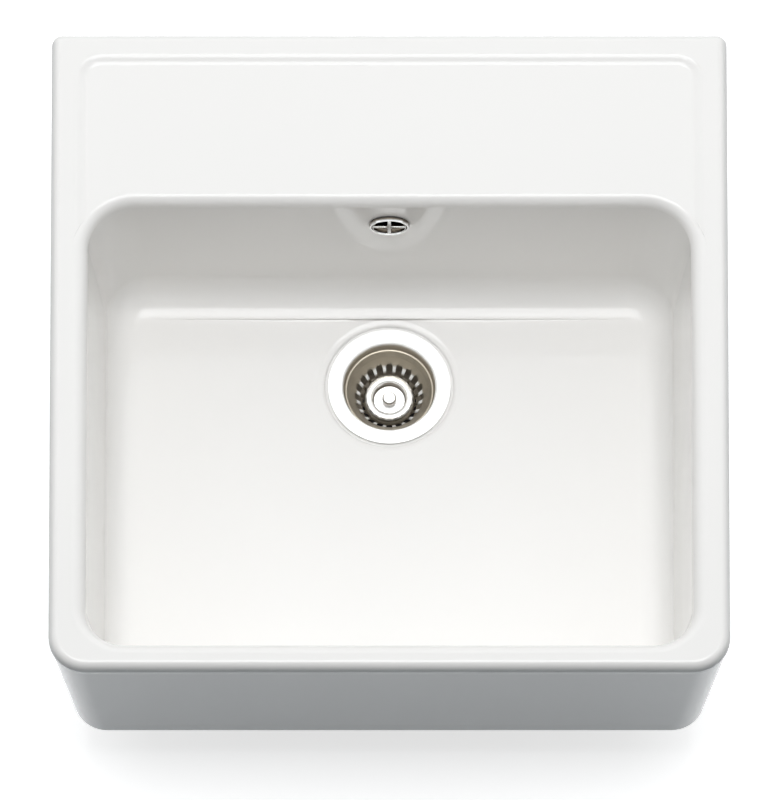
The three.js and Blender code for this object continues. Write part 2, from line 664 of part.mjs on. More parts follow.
function basketPin() {
  const headLow = BASKET_BOTTOM + BASKET_SHEET + GAP;
  const collarTop = BASKET_BOTTOM - BASKET_SHEET - GAP;
  const collarLow = collarTop - 1.8;
  const lipTop = collarLow - 3.9 - GAP;
  const lipLow = lipTop - 0.8;
  const hollow = SEAL_CORE - 3;
  return turned([
    [0, collarLow - 0.6], [hollow, collarLow - 0.6], [hollow, lipLow], [SEAL_CORE + 1.4, lipLow],
    [SEAL_CORE + 1.4, lipTop], [SEAL_CORE, lipTop], [SEAL_CORE, collarLow], [COLLAR_RADIUS, collarLow],
    [COLLAR_RADIUS, collarTop], [PIN_RADIUS, collarTop], [PIN_RADIUS, headLow],
    [PIN_HEAD_RADIUS, headLow], [PIN_HEAD_RADIUS - 0.6, headLow + PIN_HEAD], [0, headLow + PIN_HEAD],
  ], SMALL_ROUND).translate(0, WASTE_Y, 0);
}

function basketSeal() {
  const top = BASKET_BOTTOM - BASKET_SHEET - GAP - 1.8;
  const low = CUP_BOTTOM + GAP;
  return turned([
    [SEAL_CORE + GAP, top - 3.9], [SEAL_RADIUS - 5.5, top - 3.9], [SEAL_RADIUS - 3.5, low],
    [SEAL_RADIUS, low], [SEAL_RADIUS, lerp(low, top, 0.6)], [SEAL_RADIUS - 2, top], [SEAL_CORE + GAP, top],
  ]).translate(0, WASTE_Y, 0);
}

// ---------------------------------------------------------------- overflow

// Built about Z with its face down at zero, then laid over so that it faces the bowl.
function overflowGrille() {
  const sleeveOuter = GRILLE_OPENING + SLEEVE_WALL;
  const sleeveEnd = GRILLE_HEIGHT + FRONT_SEAL + BACK_WALL + REAR_GASKET + ELBOW_WALL + 7;
  const rim = turned([
    [GRILLE_OPENING, sleeveEnd], [GRILLE_OPENING, 1.6], [GRILLE_OPENING + 1.6, 1.2],
    [GRILLE_OPENING + 2.2, 0], [GRILLE_RADIUS - 1.8, 0], [GRILLE_RADIUS - 0.5, 0.8],
    [GRILLE_RADIUS, GRILLE_HEIGHT], [sleeveOuter, GRILLE_HEIGHT], [sleeveOuter, sleeveEnd],
  ]);
  const bars = [0, 1].map((k) => box(2 * GRILLE_OPENING + SLEEVE_WALL, GRILLE_BAR, 1.8, 1.8 + GRILLE_BAR_DEPTH)
    .rotateZ(Math.PI / 2 * k));
  const hub = rod(GRILLE_BAR, 1.8, 1.8 + GRILLE_BAR_DEPTH);
  return alongY(joined(rim, ...bars, hub))
    .translate(0, BOWL_BACK - FRONT_SEAL - GRILLE_HEIGHT, OVERFLOW_LEVEL);
}

function overflowFrontSeal() {
  return alongY(ring(OVERFLOW_HOLE, GRILLE_RADIUS - 0.6, 0, FRONT_SEAL, PLAIN_ROUND))
    .translate(0, BOWL_BACK - FRONT_SEAL, OVERFLOW_LEVEL);
}

function overflowRearGasket() {
  return alongY(ring(OVERFLOW_HOLE, ELBOW_FLANGE - 1, 0, REAR_GASKET, PLAIN_ROUND))
    .translate(0, WALL_BACK, OVERFLOW_LEVEL);
}

function overflowElbow() {
  const bore = GRILLE_OPENING + SLEEVE_WALL + GAP;
  const barrel = alongY(turned([
    [0, 0], [ELBOW_FLANGE, 0], [ELBOW_FLANGE, ELBOW_WALL], [bore + ELBOW_WALL, ELBOW_WALL],
    [bore + ELBOW_WALL, ELBOW_LENGTH - 2], [bore + ELBOW_WALL - 2, ELBOW_LENGTH], [0, ELBOW_LENGTH],
  ], PLAIN_ROUND)).translate(0, ELBOW_START, OVERFLOW_LEVEL);
  const barrelBore = alongY(rod(bore, -1, ELBOW_LENGTH - ELBOW_WALL, PLAIN_ROUND))
    .translate(0, ELBOW_START, OVERFLOW_LEVEL);
  const leg = rod(SOCKET_OUTER, ELBOW_END, OVERFLOW_LEVEL).translate(0, PIPE_Y, 0);
  const legBore = rod(SOCKET_RADIUS, ELBOW_END - 1, OVERFLOW_LEVEL).translate(0, PIPE_Y, 0);
  const flange = toSolid(barrel).add(toSolid(leg));
  return toGeometry(flange.subtract(toSolid(barrelBore)).subtract(toSolid(legBore)));
}

// Down from the elbow, round one bend under the base, and forward into the waste's port.
function pipeRoute() {
  const start = ELBOW_END + PIPE_INSERT;
  const bendY = PIPE_Y - PIPE_BEND;
  const bendZ = PORT_LEVEL + PIPE_BEND;
  const route = new THREE.CurvePath();
  route.add(new THREE.LineCurve3(new THREE.Vector3(0, PIPE_Y, start), new THREE.Vector3(0, PIPE_Y, bendZ)));
  route.add(quarterBend(bendY, bendZ));
  route.add(new THREE.LineCurve3(
    new THREE.Vector3(0, bendY, PORT_LEVEL), new THREE.Vector3(0, PORT_END - PIPE_INSERT, PORT_LEVEL)));
  return route;
}

function quarterBend(y, z) {
  const bend = new THREE.Curve();
  bend.getPoint = (t, target = new THREE.Vector3()) => {
    const angle = -Math.PI / 2 * t;
    return target.set(0, y + PIPE_BEND * Math.cos(angle), z + PIPE_BEND * Math.sin(angle));
  };
  return bend;
}

function overflowPipe() {
  const section = new THREE.Shape();
  section.absarc(0, 0, PIPE_RADIUS, 0, 2 * Math.PI, false);
  const bore = new THREE.Path();
  bore.absarc(0, 0, PIPE_RADIUS - PIPE_WALL, 0, 2 * Math.PI, true);
  section.holes.push(bore);
  return new THREE.ExtrudeGeometry(section, { steps: 20, curveSegments: 6, extrudePath: pipeRoute() });
}

// Grip nut: open end at zero, inward rim at its far end.
function gripNut() {
  const outer = SOCKET_OUTER + GAP + ELBOW_WALL;
  const nut = turned([
    [SOCKET_OUTER + GAP, 0], [outer, 0], [outer, NUT_LENGTH - 1.5], [outer - 1.5, NUT_LENGTH],
    [PIPE_RADIUS + GAP, NUT_LENGTH], [PIPE_RADIUS + GAP, NUT_LENGTH - NUT_RIM],
    [SOCKET_OUTER + GAP, NUT_LENGTH - NUT_RIM],
  ], NUT_GRIPS * 2);
  const grips = [];
  for (let k = 0; k < NUT_GRIPS; k++) {
    grips.push(box(GRIP_DEPTH + 0.6, 3, 1.5, NUT_LENGTH - 3)
      .translate(outer + GRIP_DEPTH / 2 - 0.3, 0, 0)
      .rotateZ(Math.PI * 2 * k / NUT_GRIPS));
  }
  return joined(nut, ...grips);
}

function coneSeal() {
  return turned([
    [PIPE_RADIUS + GAP, 0], [SOCKET_OUTER - 0.6, 0], [SOCKET_OUTER - 0.6, CONE_SEAL - 1.4],
    [PIPE_RADIUS + 2, CONE_SEAL], [PIPE_RADIUS + GAP, CONE_SEAL],
  ], SMALL_ROUND);
}

// The nut's rim presses the seal onto the socket's end.
const nutStart = CONE_SEAL + NUT_RIM - NUT_LENGTH;

function elbowNut() {
  return gripNut().translate(0, 0, nutStart).rotateX(Math.PI).translate(0, PIPE_Y, ELBOW_END);
}

function elbowConeSeal() {
  return coneSeal().rotateX(Math.PI).translate(0, PIPE_Y, ELBOW_END);
}

function portNut() {
  return alongY(gripNut().translate(0, 0, nutStart)).translate(0, PORT_END, PORT_LEVEL);
}

function portConeSeal() {
  return alongY(coneSeal()).translate(0, PORT_END, PORT_LEVEL);
}

// ---------------------------------------------------------------- finishes

const finish = (color, roughness, metalness) => new THREE.MeshStandardMaterial({ color, roughness, metalness });

const glaze = finish(0xf4f4f2, 0.12, 0);
const polishedSteel = finish(0xd6d3cc, 0.14, 1);
const brushedSteel = finish(0xb4ada0, 0.3, 1);
const chrome = finish(0xdcdcda, 0.08, 1);
const brass = finish(0xb59a52, 0.35, 1);
const blackRubber = finish(0x1e1e1f, 0.75, 0);
const greyRubber = finish(0x77797a, 0.7, 0);
const whitePlastic = finish(0xdedfdc, 0.42, 0);

// ---------------------------------------------------------------- assembly

const sink = new THREE.Group();

function place(name, geometry, material) {
  const mesh = new THREE.Mesh(geometry, material);
  mesh.name = name;
  sink.add(mesh);
}

place('ceramic_body', ceramicBody(), glaze);

place('waste_flange_cup', wasteFlangeCup(), polishedSteel);
place('flange_gasket', flangeGasket(), greyRubber);
place('under_gasket', underGasket(), blackRubber);
place('waste_lower_body', wasteLowerBody(), whitePlastic);
place('brass_insert', brassInsert(), brass);
place('clamp_screw', clampScrew(), polishedSteel);

place('basket_shell', basketShell(), brushedSteel);
place('basket_cap', basketCap(), polishedSteel);
place('basket_knob', basketKnob(), polishedSteel);
place('basket_pin', basketPin(), whitePlastic);
place('basket_seal', basketSeal(), blackRubber);

place('overflow_grille', overflowGrille(), chrome);
place('overflow_front_seal', overflowFrontSeal(), blackRubber);
place('overflow_rear_gasket', overflowRearGasket(), blackRubber);
place('overflow_elbow', overflowElbow(), whitePlastic);
place('elbow_nut', elbowNut(), whitePlastic);
place('elbow_cone_seal', elbowConeSeal(), blackRubber);
place('overflow_pipe', overflowPipe(), whitePlastic);
place('port_nut', portNut(), whitePlastic);
place('port_cone_seal', portConeSeal(), blackRubber);

export default sink;
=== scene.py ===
"""Farmhouse apron front sink: glazed ceramic, strainer waste and overflow, dressed around the CAD frame."""

import math

import bmesh
import bpy
from bpy.props import FloatProperty, FloatVectorProperty, IntProperty, PointerProperty
from mathutils import Matrix, Vector


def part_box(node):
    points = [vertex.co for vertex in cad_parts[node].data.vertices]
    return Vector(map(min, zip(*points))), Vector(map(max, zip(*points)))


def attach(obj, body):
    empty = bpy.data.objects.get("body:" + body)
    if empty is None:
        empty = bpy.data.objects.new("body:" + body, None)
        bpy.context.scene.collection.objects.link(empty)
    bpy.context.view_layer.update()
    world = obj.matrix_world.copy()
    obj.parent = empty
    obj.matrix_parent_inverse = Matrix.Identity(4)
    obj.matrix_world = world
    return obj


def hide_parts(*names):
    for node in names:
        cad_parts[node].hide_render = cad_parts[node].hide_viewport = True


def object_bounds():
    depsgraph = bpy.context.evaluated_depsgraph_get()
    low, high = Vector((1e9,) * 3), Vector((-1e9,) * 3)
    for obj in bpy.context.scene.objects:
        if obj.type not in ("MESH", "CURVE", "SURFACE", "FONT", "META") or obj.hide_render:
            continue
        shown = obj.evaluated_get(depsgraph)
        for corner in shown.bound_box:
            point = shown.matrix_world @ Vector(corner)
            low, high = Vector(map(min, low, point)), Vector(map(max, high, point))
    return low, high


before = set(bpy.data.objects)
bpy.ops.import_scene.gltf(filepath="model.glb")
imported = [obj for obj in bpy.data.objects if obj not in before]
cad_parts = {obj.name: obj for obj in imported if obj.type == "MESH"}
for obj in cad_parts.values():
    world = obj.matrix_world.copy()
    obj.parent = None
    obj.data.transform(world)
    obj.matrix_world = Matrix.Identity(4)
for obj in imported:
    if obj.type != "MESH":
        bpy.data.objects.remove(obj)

bl_info = {
    "name": "Farmhouse Sink",
    "version": (1, 0, 0),
    "blender": (4, 5, 0),
    "location": "View3D > Sidebar > Sink",
    "description": "Builds a glazed apron front sink with its strainer waste and overflow",
    "category": "Object",
}

MM = 0.001
CAD_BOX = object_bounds()
CERAMIC_LOW, CERAMIC_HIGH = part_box("ceramic_body")
FLANGE_LOW, FLANGE_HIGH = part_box("waste_flange_cup")
GRILLE_LOW, GRILLE_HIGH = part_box("overflow_grille")
PIPE_LOW, PIPE_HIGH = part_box("overflow_pipe")
PORT_NUT_LOW, PORT_NUT_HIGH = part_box("port_nut")
WASTE_Y = (FLANGE_LOW.y + FLANGE_HIGH.y) / 2
WASTE = (0, WASTE_Y)
OVERFLOW_Z = (GRILLE_LOW.z + GRILLE_HIGH.z) / 2
PIPE_Y = PIPE_HIGH.y - PIPE_HIGH.x
PORT_Z = (PORT_NUT_LOW.z + PORT_NUT_HIGH.z) / 2
# Radii and thicknesses in millimetres, and how many there are of what repeats.
HOLE_RADIUS = 44.5
DRAIN_RADIUS = 65.5
TUBE_OUTER, TUBE_BORE = 13.6, 10.6
OVERFLOW_HOLE = 15.0
KNOCKOUT_RADIUS = 17.5
CUP_SHEET, BASKET_SHEET = 1.2, 1.0
SLOTS, DRAIN_OPENINGS, WEBS, GRIPS = 20, 6, 3, 12


def turned_size(node):
    """Outer radius, lowest and highest level in millimetres of a node turned about an upright axis."""
    low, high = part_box(node)
    return max(high.x - low.x, high.y - low.y) / 2 / MM, low.z / MM, high.z / MM


def number(name, text, default, **limits):
    return FloatProperty(name=name, description=text, default=default, **limits)


def length(name, text, default):
    return number(name, text, default, min=0, unit="LENGTH", precision=4)


def colour(name, text, default):
    return FloatVectorProperty(name=name, description=text, default=default, size=3,
                               min=0, max=1, subtype="COLOR")


class SinkCeramic(bpy.types.PropertyGroup):
    """Sizes of the ceramic body."""
    rim_round: length("Rim Rounding", "Outer rounding of the rim", 8 * MM)
    rim_band: length("Rim Band", "Upright band below the rim's rounding", 2 * MM)
    lip: length("Lip", "How far the rim stands proud of the apron", 1.2 * MM)
    lip_blend: length("Lip Blend", "Height over which the lip runs out", 7 * MM)
    side_draft: length("Side Draft", "Each side of the base is narrower by this", 18 * MM)
    front_draft: length("Front Draft", "The base stands back from the rim by this", 24 * MM)
    front_corner: length("Front Corner", "Plan radius of the front corners", 32 * MM)
    back_corner: length("Back Corner", "Plan radius of the back corners", 9.5 * MM)
    base_round: length("Base Rounding", "Rounding of the base's edge", 4 * MM)
    side_rim: length("Side Rim", "Width of the side rims", 31.5 * MM)
    front_rim: length("Front Rim", "Width of the front rim", 24 * MM)
    bowl_back: length("Bowl Back", "Place of the bowl's back wall", 207.5 * MM)
    back_lean: length("Back Lean", "Lean of the back wall below the overflow", 7 * MM)
    lean_start: length("Lean Start", "Height where the back wall begins to lean", 140 * MM)
    wall_draft: length("Wall Draft", "Lean of the bowl's walls", 18 * MM)
    bowl_back_corner: length("Bowl Back Corner", "Plan radius at the back", 41 * MM)
    bowl_front_corner: length("Bowl Front Corner", "Plan radius at the front", 33.5 * MM)
    mouth_round: length("Mouth Rounding", "Rounding from rim to bowl wall, at the sides", 14 * MM)
    front_round: length("Front Rounding", "The same at the front", 12 * MM)
    back_round: length("Back Rounding", "The same at the back, below the ledge", 10 * MM)
    fillet: length("Floor Fillet", "Rounding from wall to floor", 30 * MM)
    floor_level: length("Floor Level", "Height of the floor's edge", 33 * MM)
    waste_level: length("Waste Level", "Height of the floor at the waste", 30 * MM)
    ledge_drop: length("Ledge Drop", "Depth of the tap ledge below the rim", 3 * MM)
    ledge_border: length("Ledge Border", "Back face to flat ledge", 30 * MM)
    ledge_slope: length("Ledge Slope", "Width of the soft slope round the ledge", 11 * MM)
    ledge_thickness: length("Ledge Thickness", "Thickness of the tap ledge", 22 * MM)
    wall: length("Back Wall", "Thickness of the bowl's back wall", 24 * MM)
    skirt: length("Skirt", "Thickness of the back skirt", 22 * MM)
    skirt_height: length("Skirt Height", "Rim to the skirt's lower edge", 60 * MM)
    cheek: length("Cheek", "Thickness of the side cheeks", 26 * MM)
    corner_steps: IntProperty(name="Corner Steps", description="Facets of a corner", default=12, min=3)


class SinkFinishes(bpy.types.PropertyGroup):
    """Colours of the finishes."""
    glaze: colour("Glaze", "White glaze", (0.865, 0.852, 0.83))
    bisque: colour("Bisque", "Bare fired clay at the back and below", (0.70, 0.65, 0.57))
    polished: colour("Polished Steel", "Flange and cap", (0.93, 0.925, 0.915))
    # Painted reflection: the basket's brushed tint is the steel's own warm grey, darkened to stand in for
    # the dark surroundings it reflects.
    brushed: colour("Brushed Steel", "Strainer basket", (0.40, 0.36, 0.295))
    # Painted shade: this dark colour is laid into the cap's well, round the foot of the knob and deep in the
    # grille's openings.
    painted_shade: colour("Painted Shade", "Grooves of the cap and round the knob", (0.22, 0.19, 0.155))
    # Painted shade: this colour darkens the inside of the cup below the flange, where shade falls and the
    # steel reflects the dark waste.
    cup: colour("Cup Steel", "Inside of the cup, where water stands", (0.45, 0.40, 0.33))
    screw: colour("Screw Steel", "Clamp screw", (0.62, 0.61, 0.59))
    chrome: colour("Chrome", "Overflow grille", (0.88, 0.88, 0.88))
    brass: colour("Brass", "Threaded insert", (0.72, 0.53, 0.25))
    plastic: colour("Plastic", "Moulded waste fittings", (0.80, 0.80, 0.78))
    rubber: colour("Rubber", "Seals", (0.022, 0.022, 0.023))
    grey_rubber: colour("Grey Rubber", "Flange gasket", (0.20, 0.20, 0.20))


class SinkStage(bpy.types.PropertyGroup):
    """Camera, lamps and floor."""
    distance: length("Camera Distance", "Camera to the aim point", 20.0)
    elevation: number("Elevation", "Camera height angle", math.radians(68.2), subtype="ANGLE")
    lens: number("Lens", "Focal length in millimetres", 1027.8, min=1)
    aim_y: number("Aim Y", "Aim point, front to back", 0.0203, unit="LENGTH")
    aim_x: number("Aim X", "Aim point, left to right", -0.0007, unit="LENGTH")
    overhead: number("Overhead Lamp", "Power of the lamp overhead, in watts", 50.3)
    softbox: number("Softbox", "Power of the wide lamp behind, in watts", 56.0)
    side_lamp: number("Side Lamps", "Power of each lamp at the side, in watts", 4.5)
    dome: number("Dome", "Strength of the surrounding light", 0.33)
    bounce: colour("Floor Bounce", "Light that the floor gives back", (0.134, 0.174, 0.20))
    lift: number("Floor Lift", "Added whiteness of the floor as it is seen", 0.68)


# ---------------------------------------------------------------- shaping

def clear_selection():
    if bpy.context.mode != "OBJECT":
        bpy.ops.object.mode_set(mode="OBJECT")
    bpy.ops.object.select_all(action="DESELECT")


def activate(piece):
    """Makes the piece the only selected object, and the active one."""
    clear_selection()
    piece.select_set(True)
    bpy.context.view_layer.objects.active = piece


def apply_modifier(piece, name, kind, **settings):
    """Adds a modifier with these settings and applies it."""
    activate(piece)
    modifier = piece.modifiers.new(name, kind)
    for key, value in settings.items():
        setattr(modifier, key, value)
    bpy.ops.object.modifier_apply(modifier=modifier.name)
    return piece


def pick_all(mode):
    bpy.ops.mesh.select_mode(type=mode)
    bpy.ops.mesh.select_all(action="SELECT")


def begin_edit(piece):
    bpy.context.view_layer.objects.active = piece
    bpy.ops.object.mode_set(mode="EDIT")


def settle(piece):
    """Leaves edit mode with the piece's place in its mesh."""
    activate(piece)
    bpy.ops.object.transform_apply(location=True, rotation=True, scale=True)
    return piece


def pick_none(piece, mode):
    """Deselects everything in a selection mode and hands back the mesh that is being edited."""
    mesh = bmesh.from_edit_mesh(piece.data)
    bpy.ops.mesh.select_mode(type=mode)
    bpy.ops.mesh.select_all(action="DESELECT")
    return mesh


def pick_vertices(piece, test):
    mesh = pick_none(piece, "VERT")
    for vertex in mesh.verts:
        if test(vertex.co):
            vertex.select = True
    mesh.select_flush(True)
    bmesh.update_edit_mesh(piece.data)


def pick_edges(piece, test):
    mesh = pick_none(piece, "EDGE")
    for edge in mesh.edges:
        a, b = (vertex.co for vertex in edge.verts)
        edge.select = bool(test(a, b))
    bmesh.update_edit_mesh(piece.data)


def pick_faces(piece, test):
    mesh = pick_none(piece, "FACE")
    for face in mesh.faces:
        face.select = bool(test(face.calc_center_median(), face.normal))
    bmesh.update_edit_mesh(piece.data)


def pick_border(piece, test=lambda a, b: True):
    """Selects the open borders whose edges pass the test."""
    mesh = pick_none(piece, "EDGE")
    for edge in mesh.edges:
        edge.select = len(edge.link_faces) < 2 and test(*(vertex.co for vertex in edge.verts))
    bmesh.update_edit_mesh(piece.data)


def rounded_plate(half, front, back, front_radius, back_radius, z, steps, cuts):
    """A level plate with rounded plan corners, in edit mode with its face selected."""
    clear_selection()
    middle = (front + back) / 2
    bpy.ops.mesh.primitive_plane_add(size=1, location=(0, middle, z))
    plate = bpy.context.object
    plate.scale = (2 * half, back - front, 1)
    settle(plate)
    begin_edit(plate)
    for radius, side in ((front_radius, -1), (back_radius, 1)):
        pick_vertices(plate, lambda co: (co.y - middle) * side > 0.4 * (back - front))
        bpy.ops.mesh.bevel(offset=radius, offset_type="OFFSET", segments=steps, affect="VERTICES",
                           clamp_overlap=False)
    pick_edges(plate, lambda a, b: (a - b).length > 0.1)
    bpy.ops.mesh.subdivide(number_cuts=cuts)
    pick_all("FACE")
    return plate


def round_over(radius, steps):
    """Insets the selected face along a quarter circle, from upright to level."""
    for k in range(steps):
        a, b = (math.pi / 2 * j / steps for j in (k, k + 1))
        bpy.ops.mesh.inset(thickness=radius * (math.cos(a) - math.cos(b)),
                           depth=radius * (math.sin(b) - math.sin(a)),
                           use_boundary=True, use_even_offset=True)


def extrude_edges(rise, forward=0.0):
    bpy.ops.mesh.extrude_edges_move(TRANSFORM_OT_translate={"value": (0, forward, rise)})


def spread(piece, amount, share=lambda out: 1.0, drop=lambda out: 0.0):
    """Moves the selected border outwards in plan, square to it, and down where drop says so."""
    mesh = bmesh.from_edit_mesh(piece.data)
    border = [vertex for vertex in mesh.verts if vertex.select]
    middle = sum((vertex.co for vertex in border), Vector()) / len(border)
    moves = []
    for vertex in border:
        sides = []
        for edge in (edge for edge in vertex.link_edges if edge.select):
            run = edge.other_vert(vertex).co - vertex.co
            side = Vector((run.y, -run.x, 0)).normalized()
            sides.append(side if side.dot(vertex.co - middle) > 0 else -side)
        total = sum(sides, Vector())
        out = total.normalized()
        move = out * (amount * share(out) * len(sides) / total.length)
        move.z = -drop(out)
        moves.append((vertex, move))
    for vertex, move in moves:
        vertex.co += move
    bmesh.update_edit_mesh(piece.data)


def close_and_orient():
    pick_all("EDGE")
    bpy.ops.mesh.remove_doubles(threshold=1e-6)
    bpy.ops.mesh.select_all(action="SELECT")
    bpy.ops.mesh.fill_holes(sides=0)
    bpy.ops.mesh.select_all(action="SELECT")
    bpy.ops.mesh.normals_make_consistent(inside=False)


def turned(name, outline, centre=(0.0, 0.0), facets=96):
    """Turns an outline of (radius, height) pairs in millimetres about an upright axis.

    It closes on itself, or starts and ends on the axis.
    """
    on_axis = outline[0][0] == 0
    points = outline[1:-1] if on_axis else outline + outline[:1]
    points = [(r * MM, z * MM) for r, z in points]
    (radius, height), x, y = points[0], *centre
    clear_selection()
    bpy.ops.mesh.primitive_circle_add(vertices=facets, radius=radius, location=(x, y, height))
    piece = bpy.context.object
    piece.name = name
    settle(piece)
    begin_edit(piece)
    pick_all("EDGE")
    for r, z in points[1:]:
        extrude_edges(z - height)
        share = r / radius
        bpy.ops.transform.resize(value=(share, share, 1), center_override=(x, y, z))
        radius, height = r, z
    close_and_orient()
    return settle(piece)


def lay_back(piece, y, z):
    """Turns a piece made about the upright axis so that the axis runs to the back."""
    return moved(piece, (0, y, z), -math.pi / 2)


def softened(outline, radius, steps=4):
    """Rounds each corner of an outline with a small arc."""
    soft = []
    count = len(outline)
    closed = outline[0][0] != 0
    for i, point in enumerate(outline):
        if not closed and i in (0, count - 1):
            soft.append(point)
            continue
        before, here, after = (Vector(outline[j % count]) for j in (i - 1, i, i + 1))
        back, ahead = before - here, after - here
        turn = back.angle(ahead)
        if turn > math.radians(172):
            soft.append(point)
            continue
        reach = min(radius / math.tan(turn / 2), 0.42 * back.length, 0.42 * ahead.length)
        start, end = here + back.normalized() * reach, here + ahead.normalized() * reach
        for k in range(steps + 1):
            t = k / steps
            on_curve = start * (1 - t) ** 2 + here * (2 * t * (1 - t)) + end * t ** 2
            soft.append((on_curve.x, on_curve.y))
    return soft


def sheet_outline(line, sheet):
    """Closed outline of a pressed sheet: the line from the middle outwards, and one below it."""
    below = []
    for i, point in enumerate(line):
        sides = []
        for a, b in ((line[max(i - 1, 0)], point), (point, line[min(i + 1, len(line) - 1)])):
            step = Vector(b) - Vector(a)
            if step.length > 0:
                sides.append(Vector((step.y, -step.x)).normalized())
        total = sum(sides, Vector((0, 0)))
        off = Vector(point) + total.normalized() * (sheet * len(sides) / total.length)
        below.append((off.x, off.y))
    return below + line[::-1]


def combine(piece, other, operation="DIFFERENCE"):
    """Cuts or joins with another solid, which is used up."""
    apply_modifier(piece, "cut", "BOOLEAN", operation=operation, solver="EXACT", object=other)
    bpy.data.objects.remove(other)
    return piece


def copies(piece, moves):
    """One object holding the piece and its copies, each put in place by a matrix."""
    whole = []
    for matrix in moves:
        twin = piece.copy()
        twin.data = piece.data.copy()
        bpy.context.collection.objects.link(twin)
        twin.matrix_world = matrix
        whole.append(twin)
    bpy.data.objects.remove(piece)
    return settle(join(whole))


def join(pieces):
    """Makes one object of several, which keeps the first one's name."""
    activate(pieces[0])
    for piece in pieces:
        piece.select_set(True)
    bpy.ops.object.join()
    return pieces[0]


def moved(piece, place, tilt=0.0):
    """Tilts a piece about its level x axis, puts it in place and settles it."""
    piece.rotation_euler = (tilt, 0, 0)
    piece.location = place
    return settle(piece)


def smooth_faces(piece, degrees):
    activate(piece)
    bpy.ops.object.shade_smooth_by_angle(angle=math.radians(degrees))
    return apply_modifier(piece, "normals", "WEIGHTED_NORMAL", mode="FACE_AREA", weight=50, keep_sharp=True)


def bevel_piece(piece, width, segments=3, degrees=40):
    """Rounds the piece's sharp edges."""
    return apply_modifier(piece, "edges", "BEVEL", width=width, segments=segments, limit_method="ANGLE",
                          angle_limit=math.radians(degrees))


def deliver(piece, finish_name, node, body="sink", angle=50):
    """Smooths and dresses a finished piece, and hangs it on its body in place of its CAD node."""
    smooth_faces(piece, angle)
    piece.data.name = piece.name
    piece.data.materials.clear()
    piece.data.materials.append(finish(finish_name))
    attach(piece, body)
    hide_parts(node)
    return piece


# ---------------------------------------------------------------- finishes

class Recipe:
    """Short way to write the nodes of a material, or of the surroundings."""

    def __init__(self, name, kind="materials", shader="Principled BSDF"):
        self.result = getattr(bpy.data, kind).new(name)
        self.result.use_nodes = True
        self.tree = self.result.node_tree
        self.shader = self.tree.nodes[shader]
        self.coordinates = self.add("ShaderNodeTexCoord").outputs
        self.place = self.coordinates["Object"]

    def add(self, kind, settings=None, **inputs):
        node = self.tree.nodes.new(kind)
        for key, value in (settings or {}).items():
            setattr(node, key, value)
        for key, value in inputs.items():
            self.feed(value, node.inputs[key.replace("_", " ")])
        return node

    def feed(self, value, socket):
        if isinstance(value, bpy.types.NodeSocket):
            self.tree.links.new(value, socket)
        else:
            socket.default_value = value

    def math(self, operation, a, b=0.0):
        node = self.add("ShaderNodeMath", {"operation": operation})
        self.feed(a, node.inputs[0])
        self.feed(b, node.inputs[1])
        return node.outputs[0]

    def noise(self, scale, detail):
        return self.add("ShaderNodeTexNoise", Vector=self.place, Scale=scale, Detail=detail).outputs["Fac"]

    def ramp(self, value, low, high, start=0.0, end=1.0):
        """Maps a value from [start, end] to [low, high]."""
        node = self.add("ShaderNodeMapRange", {"clamp": True})
        for key, number in (("Value", value), ("From Min", start), ("From Max", end),
                            ("To Min", low), ("To Max", high)):
            self.feed(number, node.inputs[key])
        return node.outputs["Result"]

    def blend(self, share, a, b):
        node = self.add("ShaderNodeMix", {"data_type": "RGBA"})
        self.feed(share, node.inputs["Factor"])
        self.feed(a, node.inputs[6])
        self.feed(b, node.inputs[7])
        return node.outputs[2]

    def blend_value(self, share, a, b):
        node = self.add("ShaderNodeMix", {"data_type": "FLOAT"})
        self.feed(share, node.inputs["Factor"])
        self.feed(a, node.inputs[2])
        self.feed(b, node.inputs[3])
        return node.outputs[0]

    def bump(self, height, distance, strength=1.0, normal=None):
        node = self.add("ShaderNodeBump", Height=height, Distance=distance, Strength=strength)
        if normal:
            self.feed(normal, node.inputs["Normal"])
        return node.outputs["Normal"]

    def separate(self, place=None):
        return self.add("ShaderNodeSeparateXYZ", Vector=place or self.place).outputs

    def seen(self):
        """One for rays from the camera and in reflections, nought for light that bounces on."""
        path = self.add("ShaderNodeLightPath").outputs
        mirrored = self.math("MAXIMUM", path["Is Glossy Ray"], path["Is Transmission Ray"])
        return self.math("MAXIMUM", path["Is Camera Ray"], mirrored)

    def set(self, **inputs):
        for key, value in inputs.items():
            self.feed(value, self.shader.inputs[key.replace("_", " ")])


def shade(rgb, factor=1.0):
    return tuple(min(channel * factor, 1.0) for channel in rgb) + (1.0,)


